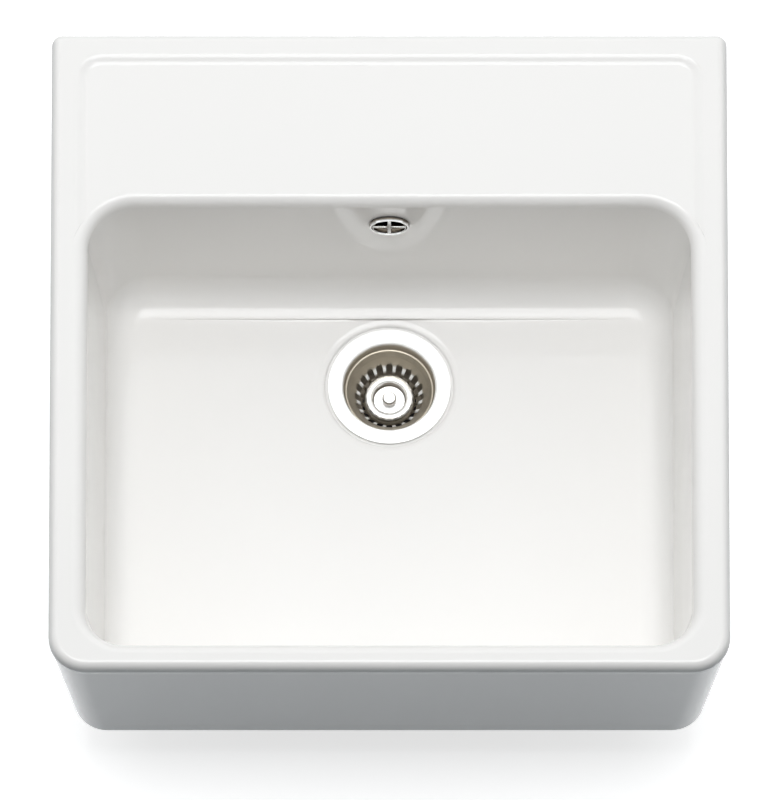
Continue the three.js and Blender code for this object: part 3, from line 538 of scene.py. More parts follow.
def glaze_finish(colours):
    """White glaze, with bare clay under the base, in the hollow and on the back face."""
    c = bpy.context.scene.sink_ceramic
    clay_top = 200 * MM
    clay_half, clay_taper = 265 * MM, 0.085
    r = Recipe("white_glaze")
    x, y, z = r.separate()
    waver = r.ramp(r.noise(38.0, 4.0), -2.2 * MM, 2.2 * MM)
    behind = r.math("GREATER_THAN", r.math("ADD", y, waver), c.bowl_back + c.wall - 3 * MM)
    below = r.math("LESS_THAN", r.math("ADD", z, waver), clay_top)
    flank = r.math("SUBTRACT", r.math("ABSOLUTE", x), r.math("MULTIPLY", z, clay_taper))
    inside = r.math("LESS_THAN", flank, clay_half)
    base = r.math("LESS_THAN", r.math("ADD", z, r.math("MULTIPLY", waver, 0.3)), 1.2 * MM)
    hollow = r.math("MULTIPLY", r.math("MULTIPLY", behind, below), inside)
    bare = r.math("MAXIMUM", hollow, base)
    cloud = r.noise(4.0, 2.0)
    white = r.blend(cloud, shade(colours.glaze, 0.992), shade(colours.glaze, 1.008))
    clay = r.blend(r.noise(160.0, 6.0), shade(colours.bisque, 0.9), shade(colours.bisque, 1.08))
    r.set(Base_Color=r.blend(bare, white, clay))
    gloss = r.ramp(r.noise(22.0, 4.0), 0.055, 0.10, 0.35, 0.7)
    r.set(Roughness=r.blend_value(bare, gloss, 0.78))
    ripple = r.bump(r.noise(9.0, 1.0), 0.25 * MM)
    peel = r.bump(r.noise(170.0, 2.0), 0.012 * MM, 1.0, ripple)
    grain = r.bump(r.math("MULTIPLY", r.noise(1500.0, 3.0), bare), 0.12 * MM, 1.0, peel)
    r.set(Normal=grain, IOR=1.52, Specular_IOR_Level=0.3)
    return r.result


def metal_finish(name, tint, low, high, ring, centre=WASTE_Y, second=None, where=(), matt=0.0):
    """Metal with a roughness from low to high, spun about the waste's axis unless the centre is None.

    Where holds (kind, from, to): the second colour grows from nought to full along the radius, the
    depth or the height, in millimetres, and the surface is more matt there by the amount of matt.
    The second colour is painted light: painted shade in hollows and a painted highlight on the basket's
    ribs.
    """
    r = Recipe(name)
    radius = None
    if centre is None:
        marks = r.noise(900.0, 3.0)
    else:
        flat = r.add("ShaderNodeMapping", Vector=r.place, Location=(0, -centre, 0), Scale=(1, 1, 0))
        reach = r.add("ShaderNodeVectorMath", {"operation": "LENGTH"}, Vector=flat.outputs[0])
        radius = reach.outputs["Value"]
        rings = r.add("ShaderNodeTexNoise", {"noise_dimensions": "1D"}, W=radius, Scale=2200.0, Detail=4.0)
        marks = rings.outputs["Fac"]
    worn = r.noise(55.0, 4.0)
    rough = r.math("ADD", r.ramp(worn, low, high, 0.3, 0.7), r.math("MULTIPLY", marks, 0.06))
    base_tint = r.blend(worn, shade(tint, 0.97), shade(tint, 1.03))
    share = None
    for kind, start, end in where:
        value = radius if kind == "radius" else r.separate()[1 if kind == "depth" else 2]
        uneven = r.math("ADD", value, r.ramp(worn, -0.4 * MM, 0.4 * MM, 0.3, 0.7))
        part = r.ramp(uneven, 0.0, 1.0, start * MM, end * MM)
        share = part if share is None else r.math("MULTIPLY", share, part)
    if matt:
        rough = r.math("ADD", rough, r.math("MULTIPLY", share, matt))
    r.set(Metallic=1.0, Roughness=rough)
    # The second colour, blended in by the mask, is painted shade in hollows and a painted highlight on the
    # basket's ribs.
    r.set(Base_Color=base_tint if share is None else r.blend(share, base_tint, shade(second)))
    r.set(Normal=r.bump(r.noise(260.0, 3.0), 0.01 * MM, 0.5, r.bump(marks, ring * MM, 0.6)))
    return r.result


def plastic_finish(colours):
    """Moulded white plastic with a fine spark texture and handling marks."""
    r = Recipe("moulded_plastic")
    flow = r.noise(30.0, 4.0)
    r.set(Base_Color=r.blend(flow, shade(colours.plastic, 0.96), shade(colours.plastic, 1.03)))
    r.set(Roughness=r.ramp(r.noise(110.0, 4.0), 0.34, 0.5, 0.3, 0.7))
    r.set(Normal=r.bump(r.noise(1400.0, 2.0), 0.03 * MM, 0.6), IOR=1.49)
    return r.result


def rubber_finish(name, tint):
    """Matt rubber with a dusty bloom."""
    r = Recipe(name)
    bloom = r.noise(70.0, 5.0)
    r.set(Base_Color=r.blend(r.ramp(bloom, 0.0, 1.0, 0.5, 0.8), shade(tint), shade(tint, 1.9)))
    r.set(Roughness=r.ramp(bloom, 0.5, 0.72, 0.3, 0.7))
    r.set(Normal=r.bump(r.noise(1200.0, 3.0), 0.03 * MM, 0.7))
    return r.result


def finish(name):
    """The named finish, made once."""
    full_name = name + "_finish"
    if full_name in bpy.data.materials:
        return bpy.data.materials[full_name]
    colours = bpy.context.scene.sink_finishes
    steel, painted_shade = colours.polished, colours.painted_shade
    shadow = [("height", 28.6, 24.5)]
    # Painted shade: a dark ring in the cap's well, round the knob.
    well_shade = [("radius", 15.3, 14.9), ("radius", 13.4, 14.0), ("height", 2.4, 1.2)]
    # Painted shade round the foot of the knob.
    knob_foot_shade = [("radius", 4.5, 5.1), ("height", 3.35, 2.8)]
    # Painted highlight: a bright band of steel on the basket's ribs between the slots.
    rib_highlight = [("radius", 25.0, 26.4), ("radius", 30.0, 28.6)]
    # Painted shade deeper than the grille's face, in its openings and on the cross's sides.
    inside = [("depth", GRILLE_LOW.y / MM + 0.8, GRILLE_LOW.y / MM + 2.0)]
    metals = {
        "satin_steel": (steel, 0.62, 0.72, 0.006, WASTE_Y, colours.cup, shadow),
        "bright_steel": (steel, 0.30, 0.38, 0.006, WASTE_Y, painted_shade, well_shade),
        "knob_steel": (steel, 0.24, 0.32, 0.004, WASTE_Y, painted_shade, knob_foot_shade),
        "brushed_steel": (colours.brushed, 0.34, 0.42, 0.015, WASTE_Y, steel, rib_highlight, 0.35),
        "bright_chrome": (colours.chrome, 0.05, 0.10, 0.004, None, painted_shade, inside),
        "screw_steel": (colours.screw, 0.2, 0.3, 0.01),
        "turned_brass": (colours.brass, 0.22, 0.32, 0.02),
    }
    if name in metals:
        made = metal_finish(name, *metals[name])
    elif name == "white_glaze":
        made = glaze_finish(colours)
    elif name == "moulded_plastic":
        made = plastic_finish(colours)
    else:
        rubbers = {"seal_rubber": colours.rubber, "gasket_rubber": colours.grey_rubber}
        made = rubber_finish(name, rubbers[name])
    made.name = full_name
    return made


# ---------------------------------------------------------------- ceramic

def ceramic_block(c):
    """The drafted block with its proud rim, rounded all over."""
    height, back, front = CERAMIC_HIGH.z, CERAMIC_HIGH.y, CERAMIC_LOW.y
    top = height - c.rim_round
    block = rounded_plate(CERAMIC_HIGH.x, front, back, c.front_corner, c.back_corner, top,
                          c.corner_steps, c.corner_steps - 1)
    round_over(c.rim_round, 8)
    pick_border(block)
    extrude_edges(-c.rim_band)
    steps = 6
    half, reach = CERAMIC_HIGH.x, back - front
    for k in range(steps):
        before, after = (c.lip * (1 - math.cos(math.pi * j / steps)) / 2 for j in (k, k + 1))
        extrude_edges(-c.lip_blend / steps)
        narrower, shorter = (half - after) / (half - before), (reach - after) / (reach - before)
        bpy.ops.transform.resize(value=(narrower, shorter, 1), center_override=(0, back, 0))
    half, reach = half - c.lip, reach - c.lip
    extrude_edges(-(top - c.rim_band - c.lip_blend - c.base_round))
    bpy.ops.transform.resize(value=((half - c.side_draft) / half, (reach - c.front_draft) / reach, 1),
                             center_override=(0, back, 0))
    bpy.ops.mesh.edge_face_add()
    bpy.ops.mesh.select_all(action="SELECT")
    bpy.ops.mesh.normals_make_consistent(inside=False)
    pick_faces(block, lambda middle, normal: middle.z < c.base_round * 1.01 and normal.z < -0.9)
    round_over(c.base_round, 4)
    close_and_orient()
    return settle(block)


def bowl_solid(c):
    """The bowl's space: rounded mouth, leaning walls, deep fillet and a floor that falls to the waste."""
    height = CERAMIC_HIGH.z
    depth = height - c.floor_level
    start = height - c.mouth_round
    lean = c.wall_draft * c.mouth_round / depth
    half = CERAMIC_HIGH.x - c.side_rim - lean
    front = CERAMIC_LOW.y + c.front_rim + lean
    bowl = rounded_plate(half, front, c.bowl_back, c.bowl_front_corner, c.bowl_back_corner, start,
                         c.corner_steps, c.corner_steps - 1)
    bpy.ops.mesh.flip_normals()
    reach = c.bowl_back - front
    back, level = c.bowl_back, start
    for low, forward in ((c.lean_start, 0.0), (c.floor_level + c.fillet, c.back_lean)):
        drop = level - low
        inward = c.wall_draft * drop / depth
        forward *= (c.lean_start - low) / (c.lean_start - c.floor_level)
        share = (reach - inward - forward) / reach
        bpy.ops.mesh.inset(thickness=0, depth=drop, use_boundary=True)
        bpy.ops.transform.resize(value=((half - inward) / half, share, 1),
                                 center_override=(0, back - forward / (1 - share), 0))
        half, reach, back, level = half - inward, reach - inward - forward, back - forward, low
    round_over(c.fillet, 12)
    bpy.ops.mesh.delete(type="ONLY_FACE")
    count = 4 * (c.corner_steps + 1) + 4 * (c.corner_steps - 1)
    bpy.ops.mesh.primitive_circle_add(vertices=count, radius=DRAIN_RADIUS * MM,
                                      location=(0, WASTE_Y, c.waste_level))
    pick_border(bowl, lambda a, b: max(a.z, b.z) < start - 1 * MM)
    bpy.ops.mesh.bridge_edge_loops(number_cuts=7, interpolation="LINEAR")
    pick_border(bowl, lambda a, b: max(a.z, b.z) < start - 1 * MM)
    bpy.ops.mesh.edge_face_add()
    pick_border(bowl)
    steps = 10
    for k in range(steps):
        a, b = (math.pi / 2 * j / steps for j in (k, k + 1))
        rise = c.mouth_round * 1.002 * (math.sin(b) - math.sin(a))
        extrude_edges(rise)
        spread(bowl, c.mouth_round * (math.cos(a) - math.cos(b)),
               lambda out: mouth_share(c, out),
               lambda out: rise * c.ledge_drop / c.mouth_round * smooth(out.y / 0.6))
    extrude_edges(12 * MM)
    close_and_orient()
    return settle(bowl)


def smooth(t):
    t = min(max(t, 0.0), 1.0)
    return t * t * (3 - 2 * t)


def mouth_share(c, out):
    """How far the mouth's rounding reaches in a direction, as a share of that at the sides."""
    side = 1 + (c.front_round / c.mouth_round - 1) * smooth(-out.y)
    return side + (c.back_round / c.mouth_round - side) * smooth(out.y / 0.6)


def ledge_solid(c):
    """The tap ledge's shallow recess, with a soft slope up to the rim."""
    height, back = CERAMIC_HIGH.z, CERAMIC_HIGH.y
    level = height - c.ledge_drop
    half = CERAMIC_HIGH.x - c.side_rim
    ledge = rounded_plate(half, 0, back - c.ledge_border, 0.5 * MM, 13 * MM, level, 8, 3)
    bpy.ops.mesh.flip_normals()
    pick_border(ledge)
    steps = 12
    for k in range(steps):
        before, after = ((1 - math.cos(math.pi * j / steps)) / 2 for j in (k, k + 1))
        extrude_edges((c.ledge_drop + 0.02 * MM) * (after - before))
        spread(ledge, c.ledge_slope / steps)
    extrude_edges(10 * MM)
    close_and_orient()
    return settle(ledge)


def tapered_box(name, low_half, high_half, front, back, low, high):
    """A box whose width changes from bottom to top."""
    clear_selection()
    bpy.ops.mesh.primitive_cube_add(size=1, location=(0, (front + back) / 2, (low + high) / 2))
    solid = bpy.context.object
    solid.name = name
    solid.scale = (2 * low_half, back - front, high - low)
    settle(solid)
    begin_edit(solid)
    pick_faces(solid, lambda middle, normal: normal.z > 0.9)
    bpy.ops.transform.resize(value=(high_half / low_half, 1, 1), center_override=(0, 0, high))
    return solid


def side_half(c, z):
    """Half width of the body at a height."""
    top = CERAMIC_HIGH.z - c.rim_round
    return CERAMIC_HIGH.x - c.lip - c.side_draft * max(0.0, 1 - z / top)


def hollow_solid(c):
    """The hollow under the tap ledge, open below."""
    ceiling = CERAMIC_HIGH.z - c.ledge_drop - c.ledge_thickness
    low = -10 * MM
    hollow = tapered_box("hollow", side_half(c, low) - c.cheek, side_half(c, ceiling) - c.cheek,
                         c.bowl_back + c.wall, CERAMIC_HIGH.y - c.skirt, low, ceiling)
    pick_edges(hollow, lambda a, b: abs(a.z - b.z) > 0.1)
    bpy.ops.mesh.bevel(offset=14 * MM, segments=8, affect="EDGES")
    pick_edges(hollow, lambda a, b: min(a.z, b.z) > ceiling - 0.1 * MM)
    bpy.ops.mesh.bevel(offset=4 * MM, segments=4, affect="EDGES")
    close_and_orient()
    return settle(hollow)


def back_opening_solid(c):
    """The opening through the back, below the skirt."""
    top = CERAMIC_HIGH.z - c.skirt_height
    low = -10 * MM
    opening = tapered_box("opening", side_half(c, low) - c.cheek, side_half(c, top) - c.cheek,
                          CERAMIC_HIGH.y - c.skirt - 14 * MM, CERAMIC_HIGH.y + 20 * MM, low, top)
    pick_edges(opening, lambda a, b: min(a.z, b.z) > top - 0.1 * MM and abs(a.y - b.y) > 1 * MM)
    bpy.ops.mesh.bevel(offset=26 * MM, segments=10, affect="EDGES")
    close_and_orient()
    return settle(opening)


class SINK_OT_ceramic(bpy.types.Operator):
    """Make the glazed ceramic body"""
    bl_idname = "sink.ceramic"
    bl_label = "Ceramic Body"

    def execute(self, context):
        c = context.scene.sink_ceramic
        body = ceramic_block(c)
        body.name = "glazed_body"
        combine(body, ledge_solid(c))
        combine(body, bowl_solid(c))
        combine(body, hollow_solid(c))
        combine(body, back_opening_solid(c))
        underside = (CERAMIC_HIGH.z - c.ledge_drop - c.ledge_thickness) / MM
        middle = (c.bowl_back + c.wall + CERAMIC_HIGH.y - c.skirt) / 2
        for place in (-0.1, 0, 0.1):
            combine(body, turned("knockout", [
                (0, underside - 8), (KNOCKOUT_RADIUS, underside - 8), (KNOCKOUT_RADIUS, underside + 7.5),
                (KNOCKOUT_RADIUS - 1.5, underside + 9), (0, underside + 9)], (place, middle), 64))
        combine(body, turned("waste_hole", [
            (0, -10), (60, -10), (60, 0.6), (59.6, 1), (HOLE_RADIUS, 1), (HOLE_RADIUS, 26),
            (HOLE_RADIUS + 1, 27), (56.2, 27), (56.8, 27.3), (57.4, 28.3), (58.6, 29.1), (60.5, 29.6),
            (63, 29.95), (DRAIN_RADIUS, 30.08), (DRAIN_RADIUS + 1, 33), (0, 33)], WASTE, 160))
        hole = turned("overflow_hole", [(0, 190), (OVERFLOW_HOLE, 190), (OVERFLOW_HOLE, 250), (0, 250)])
        combine(body, lay_back(hole, 0, OVERFLOW_Z))
        begin_edit(body)
        pick_all("EDGE")
        bpy.ops.mesh.remove_doubles(threshold=0.01 * MM)
        settle(body)
        deliver(body, "white_glaze", "ceramic_body", angle=32)
        return {"FINISHED"}


# ---------------------------------------------------------------- waste

def waste_ring(name, inner, outer, low, high, soft=0.4):
    """A flat ring about the waste's axis, with soft edges."""
    outline = softened([(inner, low), (outer, low), (outer, high), (inner, high)], soft)
    return turned(name, outline, WASTE)


class SINK_OT_flange(bpy.types.Operator):
    """Make the waste's steel flange and cup, and the gaskets that seal it"""
    bl_idname = "sink.flange"
    bl_label = "Flange and Cup"

    def execute(self, context):
        radius, _, top = turned_size("waste_flange_cup")
        rim, _, shelf = turned_size("basket_shell")
        low = shelf - 35
        line = [
            (3.3, low), (rim - 14, low), (rim - 10.5, low + 2), (rim - 8, low + 6), (rim - 5.5, low + 14),
            (rim - 4, shelf - 9.6), (rim - 2.3, shelf - 5), (rim - 1.3, shelf - 2.4),
            (rim - 0.8, shelf - 1.45), (rim + 0.3, shelf - 1.3), (rim + 1.1, shelf - 0.4),
            (rim + 1.5, top - 4.4), (rim + 2.1, top - 1.4), (rim + 3.4, top - 0.15),
            (rim + 4.6, top - 0.2), (rim + 5.1, top - 0.55), (rim + 5.6, top - 0.1), (rim + 6.4, top),
            (radius - 0.9, top), (radius - 0.3, top - 0.15), (radius, top - 0.5)]
        cup = turned("flange_and_cup", softened(sheet_outline(line, CUP_SHEET), 0.9), WASTE, 160)
        combine(cup, copies(drain_tool(low), about_waste(DRAIN_OPENINGS)))
        deliver(cup, "satin_steel", "waste_flange_cup", angle=40)
        inner = HOLE_RADIUS + 1.5
        outer, low, high = turned_size("flange_gasket")
        gasket = waste_ring("flange_gasket_ring", inner, outer, low, high)
        deliver(gasket, "gasket_rubber", "flange_gasket")
        outer, low, high = turned_size("under_gasket")
        gasket = waste_ring("base_gasket_ring", inner, outer, low, high, 0.8)
        deliver(gasket, "seal_rubber", "under_gasket")
        return {"FINISHED"}


def turns(count, whole=360, start=0):
    """Evenly spaced turns about the upright axis, from a start angle in degrees."""
    return [Matrix.Rotation(math.radians(start + whole / count * k), 4, "Z") for k in range(count)]


def about_waste(count, whole=360, start=0):
    """The same about the waste's axis."""
    centre = Matrix.Translation((0, WASTE_Y, 0))
    return [centre @ turn @ centre.inverted() for turn in turns(count, whole, start)]


def flat_tool(corners, soft, low, high, segments=4):
    """An upright prism over corners in millimetres, given anticlockwise, with rounded upright edges."""
    clear_selection()
    bpy.ops.mesh.primitive_plane_add(size=1, location=(0, 0, low * MM))
    tool = bpy.context.object
    settle(tool)
    begin_edit(tool)
    mesh = bmesh.from_edit_mesh(tool.data)
    around = sorted(mesh.verts, key=lambda v: math.atan2(v.co.y, v.co.x))
    for vertex, (x, y) in zip(around, corners):
        vertex.co.x, vertex.co.y = x * MM, y * MM
    bmesh.update_edit_mesh(tool.data)
    bpy.ops.mesh.select_all(action="SELECT")
    bpy.ops.mesh.bevel(offset=soft * MM, segments=segments, affect="VERTICES")
    bpy.ops.mesh.select_all(action="SELECT")
    bpy.ops.mesh.extrude_region_move(TRANSFORM_OT_translate={"value": (0, 0, (high - low) * MM)})
    close_and_orient()
    return settle(tool)


def drain_tool(level):
    """Solid that cuts one opening of the cup's bottom, between two spokes."""
    inner, outer, half_spoke = 9.0, 19.5, 2.25
    share = math.pi / DRAIN_OPENINGS
    corners = []
    for radius, side in ((inner, -1), (outer, -1), (outer, 1), (inner, 1)):
        angle = side * (share - math.asin(half_spoke / radius))
        corners.append((radius * math.cos(angle), radius * math.sin(angle)))
    return moved(flat_tool(corners, 1.6, level - 5, level + 3), (0, WASTE_Y, 0))


class SINK_OT_basket(bpy.types.Operator):
    """Make the strainer basket with its cap and knob"""
    bl_idname = "sink.basket"
    bl_label = "Strainer Basket"

    def execute(self, context):
        rim, low, top = turned_size("basket_shell")
        floor = low + 1
        line = [
            (3, floor), (rim - 17.7, floor), (rim - 15.8, floor + 1), (rim - 15.2, floor + 3),
            (rim - 11.1, floor + 9.4), (rim - 7, top - 9.6), (rim - 4.6, top - 6.2), (rim - 2.2, top - 1.2),
            (rim - 1.4, top - 0.2), (rim - 0.6, top), (rim, top - 0.05)]
        shell = turned("slotted_basket", softened(sheet_outline(line, BASKET_SHEET), 0.7), WASTE, 200)
        combine(shell, copies(slot_tool(rim - 16.4, rim - 8.9), about_waste(SLOTS)))
        bevel_piece(shell, 0.4 * MM, 3, 50)
        deliver(shell, "brushed_steel", "basket_shell", "strainer_basket", 40)
        radius, low, top = turned_size("basket_cap")
        floor = low + 1
        cap_line = [
            (3, floor), (radius - 7.7, floor), (radius - 6.9, floor + 0.7), (radius - 6.3, top - 1.5),
            (radius - 5.1, top - 0.4), (radius - 3.2, top), (radius - 1.1, top - 0.6), (radius, top - 2),
            (radius, top - 4.5)]
        cap = turned("dished_cap", softened(sheet_outline(cap_line, BASKET_SHEET), 0.7), WASTE, 160)
        deliver(cap, "bright_steel", "basket_cap", "strainer_basket")
        radius, low, top = turned_size("basket_knob")
        knob_line = softened([
            (0, low + 3.3), (4.5, low + 3.3), (4.5, low), (radius - 0.7, low), (radius - 1.1, low + 2.6),
            (radius, low + 4.4), (radius, top - 1.6), (radius - 0.5, top - 0.6), (radius - 1.5, top - 0.1),
            (0, top)], 0.5)
        knob = turned("lifting_knob", knob_line, WASTE)
        deliver(knob, "knob_steel", "basket_knob", "strainer_basket")
        return {"FINISHED"}


def slot_tool(inner, outer):
    """Solid that cuts one slot of the basket's band, with rounded ends."""
    tool = flat_tool([(inner, -2.5), (outer, -3.2), (outer, 3.2), (inner, 2.5)], 1.6, -14, 14, 5)
    return moved(tool, (0, WASTE_Y, 0))


class SINK_OT_plug(bpy.types.Operator):
    """Make the basket's stem and its rubber plug"""
    bl_idname = "sink.plug"
    bl_label = "Plug"

    def execute(self, context):
        stem = turned("plug_stem", softened([
            (0, -9.7), (9, -9.7), (9, -13.9), (13.4, -13.9), (13.4, -13.1), (12, -13.1), (12, -9.1),
            (17, -9.1), (17, -7.3), (2.6, -7.3), (2.6, -4.7), (4.2, -4.7), (3.6, -2.5), (0, -2.5)], 0.25),
            WASTE, 64)
        deliver(stem, "moulded_plastic", "basket_pin", "strainer_plug", 40)
        radius, low, high = turned_size("basket_seal")
        outline = softened([
            (12.3, high - 3.9), (radius - 5.5, high - 3.9), (radius - 3.5, low), (radius, low),
            (radius, low + 3.1), (radius - 2, high), (12.3, high)], 0.5)
        seal = turned("plug_seal", outline, WASTE)
        deliver(seal, "seal_rubber", "basket_seal", "strainer_plug")
        return {"FINISHED"}


class SINK_OT_lower_body(bpy.types.Operator):
    """Make the waste's moulded lower body with its insert and clamp screw"""
    bl_idname = "sink.lower_body"
    bl_label = "Lower Body"

    def execute(self, context):
        _, low, top = turned_size("waste_lower_body")
        rim = turned_size("waste_flange_cup")[0] + 2
        inner = HOLE_RADIUS + 2
        outer = inner + 4.5
        shoulder = low + 27
        waist = -23.0
        thread = []
        for turn in range(6):
            level = low + 3 + 3.2 * turn
            thread += [(23.5, level), (24.2, level + 0.6), (24.2, level + 1.0), (23.5, level + 1.6)]
        outline = [
            (0, low), (22.5, low), (23.5, low + 1), *thread, (23.5, shoulder), (28.4, shoulder),
            (outer - 4, waist - 8), (outer, waist), (outer, top - 6), (rim, top - 5), (rim, top), (0, top)]
        body = turned("lower_body", softened(outline, 0.8), WASTE, 128)
        port_end = (PORT_NUT_LOW.y - WASTE_Y) / MM + 7.5
        port = turned("port", softened([
            (0, 20), (TUBE_OUTER, 20), (TUBE_OUTER, port_end), (0, port_end)], 0.6), facets=64)
        combine(body, lay_back(port, WASTE_Y, PORT_Z), "UNION")
        combine(body, turned("chamber", softened([
            (0, low - 1), (20.4, low - 1), (20.4, shoulder), (24.9, shoulder + 4.5), (inner - 4, waist - 6),
            (inner, waist), (inner, top + 1), (0, top + 1)], 1.0), WASTE, 128))
        bore = turned("bore", [
            (0, 12), (TUBE_BORE, 12), (TUBE_BORE, port_end + 1), (0, port_end + 1)], facets=64)
        combine(body, lay_back(bore, WASTE_Y, PORT_Z))
        boss_low, boss_top = -40.2, -19.2
        boss = turned("boss", softened([
            (3.3, boss_low), (9, boss_low), (9, boss_top), (5.8, boss_top), (5.8, boss_top - 12),
            (3.3, boss_top - 12)], 0.4), WASTE, 64)
        web = tapered_box("web", 37 * MM, 48 * MM, WASTE_Y - 1.5 * MM, WASTE_Y + 1.5 * MM,
                          (boss_low + 3) * MM, (boss_top - 4) * MM)
        settle(web)
        combine(web, turned("core", [(0, -60), (7.5, -60), (7.5, 0), (0, 0)], WASTE, 48))
        webs = copies(web, about_waste(WEBS, 180, 30))
        join([body, boss, webs])
        deliver(body, "moulded_plastic", "waste_lower_body", angle=40)
        insert = turned("threaded_insert", softened([
            (3.3, boss_top - 12), (5.5, boss_top - 12), (5.5, boss_top), (3.3, boss_top)], 0.4),
            WASTE, 48)
        deliver(insert, "turned_brass", "brass_insert")
        radius, low, top = turned_size("clamp_screw")
        head = top - 3.5
        screw = turned("clamp_screw_head", softened([
            (0, low), (2, low), (3, low + 1), (3, head), (radius, head), (radius, top - 1),
            (radius - 1, top), (0, top)], 0.5), WASTE, 48)
        slot = flat_tool([(-9, -0.8), (9, -0.8), (9, 0.8), (-9, 0.8)], 0.1, top - 1.8, top + 2, 1)
        combine(screw, moved(slot, (0, WASTE_Y, 0)))
        deliver(screw, "screw_steel", "clamp_screw", angle=40)
        return {"FINISHED"}


# ---------------------------------------------------------------- overflow

class SINK_OT_grille(bpy.types.Operator):
    """Make the chrome overflow grille with its cross, and the seals on both sides of the wall"""
    bl_idname = "sink.grille"
    bl_label = "Overflow Grille"

    def execute(self, context):
        face, end = GRILLE_LOW.y / MM, GRILLE_HIGH.y / MM
        radius = (GRILLE_HIGH.x - GRILLE_LOW.x) / 2 / MM
        length_behind = end - face
        ring = turned("overflow_grille_ring", softened([
            (13, length_behind), (13, 5.0), (14.6, 3.6), (15.3, 1.6), (15.8, 0.4), (16.4, 0.0), (17.1, 0.3),
            (radius - 0.5, 1.2), (radius, 2.2), (radius, 3.5), (14.4, 3.5), (14.4, length_behind)],
            0.3), facets=128)
        plate = turned("cross", softened([(0, 0.9), (14.9, 0.9), (14.9, 2.5), (0, 2.9)], 0.1))
        window = flat_tool([(1.5, 1.5), (15, 1.5), (11, 11), (1.5, 15)], 2.2, -2, 8, 6)
        limit = turned("limit", [(0, -2), (14.4, -2), (14.4, 8), (0, 8)])
        combine(window, limit, "INTERSECT")
        combine(plate, copies(window, turns(4)))
        bevel_piece(plate, 0.35 * MM, 2, 50)
        ring = lay_back(join([ring, plate]), face * MM, OVERFLOW_Z)
        deliver(ring, "bright_chrome", "overflow_grille", angle=40)
        inner = OVERFLOW_HOLE
        for node, name in (("overflow_front_seal", "grille_seal"), ("overflow_rear_gasket", "wall_gasket")):
            low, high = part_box(node)
            outer = (high.z - low.z) / 2 / MM
            thick = (high.y - low.y) / MM
            seal = turned(name, softened([(inner, 0), (outer, 0), (outer, thick), (inner, thick)], 0.3))
            deliver(lay_back(seal, low.y, OVERFLOW_Z), "seal_rubber", node)
        return {"FINISHED"}


class SINK_OT_overflow_pipe(bpy.types.Operator):
    """Make the elbow and the overflow pipe with its nuts and cone seals"""
    bl_idname = "sink.overflow_pipe"
    bl_label = "Overflow Pipe"

    def execute(self, context):
        low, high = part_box("overflow_elbow")
        leg_end, middle, end = low.z / MM, OVERFLOW_Z / MM, (high.y - low.y) / MM
        elbow = turned("elbow", softened([
            (0, 0), (21, 0), (21, 3), (17.7, 3), (17.7, end), (0, end)], 1.0))
        lay_back(elbow, low.y, OVERFLOW_Z)
        combine(elbow, turned("leg", softened([
            (0, leg_end), (TUBE_OUTER, leg_end), (TUBE_OUTER, middle), (0, middle)], 0.6),
            (0, PIPE_Y), 64), "UNION")
        bore = turned("bore", softened([(0, -1), (14.7, -1), (14.7, end - 3), (0, end - 3)], 1.0))
        combine(elbow, lay_back(bore, low.y, OVERFLOW_Z))
        combine(elbow, turned("leg_bore", [
            (0, leg_end - 1), (TUBE_BORE, leg_end - 1), (TUBE_BORE, middle), (0, middle)], (0, PIPE_Y), 64))
        bevel_piece(elbow, 0.5 * MM, 2, 60)
        deliver(elbow, "moulded_plastic", "overflow_elbow", angle=40)
        deliver(bent_pipe(), "moulded_plastic", "overflow_pipe")
        forward = math.pi / 2
        nut = moved(union_nut("elbow_union_nut"), (0, PIPE_Y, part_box("elbow_nut")[0].z))
        deliver(nut, "moulded_plastic", "elbow_nut")
        nut = moved(union_nut("port_union_nut"), (0, PORT_NUT_HIGH.y, PORT_Z), forward)
        deliver(nut, "moulded_plastic", "port_nut")
        seal = moved(cone_seal("elbow_seal"), (0, PIPE_Y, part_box("elbow_cone_seal")[0].z))
        deliver(seal, "seal_rubber", "elbow_cone_seal")
        seal = moved(cone_seal("port_seal"), (0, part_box("port_cone_seal")[1].y, PORT_Z), forward)
        deliver(seal, "seal_rubber", "port_cone_seal")
        return {"FINISHED"}


def cone_seal(name):
    """A rubber ring with a conical side, wide end down."""
    return turned(name, softened([(10.3, 0), (13, 0), (13, 1.5), (11.4, 4), (10.3, 4)], 0.3), facets=64)


def bent_pipe():
    """The overflow pipe: straight down, one wide bend and forward to the waste."""
    radius, bend = 10 * MM, 34 * MM
    clear_selection()
    bpy.ops.mesh.primitive_circle_add(vertices=48, radius=radius, location=(0, PIPE_Y, PIPE_HIGH.z))
    pipe = bpy.context.object
    pipe.name = "overflow_pipe_run"
    settle(pipe)
    begin_edit(pipe)
    pick_all("EDGE")
    extrude_edges(-PIPE_HIGH.z)
    bpy.ops.mesh.spin(steps=20, angle=math.pi / 2, center=(0, PIPE_Y - bend, 0), axis=(1, 0, 0))
    extrude_edges(0, PIPE_LOW.y - (PIPE_Y - bend))
    bpy.ops.mesh.select_all(action="SELECT")
    bpy.ops.mesh.remove_doubles(threshold=1e-6)
    bpy.ops.mesh.select_all(action="SELECT")
    bpy.ops.mesh.normals_make_consistent(inside=False)
    settle(pipe)
    apply_modifier(pipe, "wall", "SOLIDIFY", thickness=1.6 * MM, offset=-1)
    return bevel_piece(pipe, 0.35 * MM, 2, 60)


def union_nut(name):
    """A moulded nut, its closed end at nought and its open end up, with grip ribs round it."""
    nut = turned(name, softened([
        (10.4, 0), (15.6, 0), (16.9, 1.3), (16.9, 14.2), (16.1, 15), (13.9, 15), (13.9, 3), (10.4, 3)], 0.5))
    clear_selection()
    bpy.ops.mesh.primitive_cube_add(size=1, location=(16.9 * MM, 0, 7.5 * MM))
    grip = bpy.context.object
    grip.scale = (2.6 * MM, 3.0 * MM, 12.4 * MM)
    settle(grip)
    bevel_piece(grip, 0.8 * MM, 3, 40)
    return join([nut, copies(grip, turns(GRIPS))])


# ---------------------------------------------------------------- stage

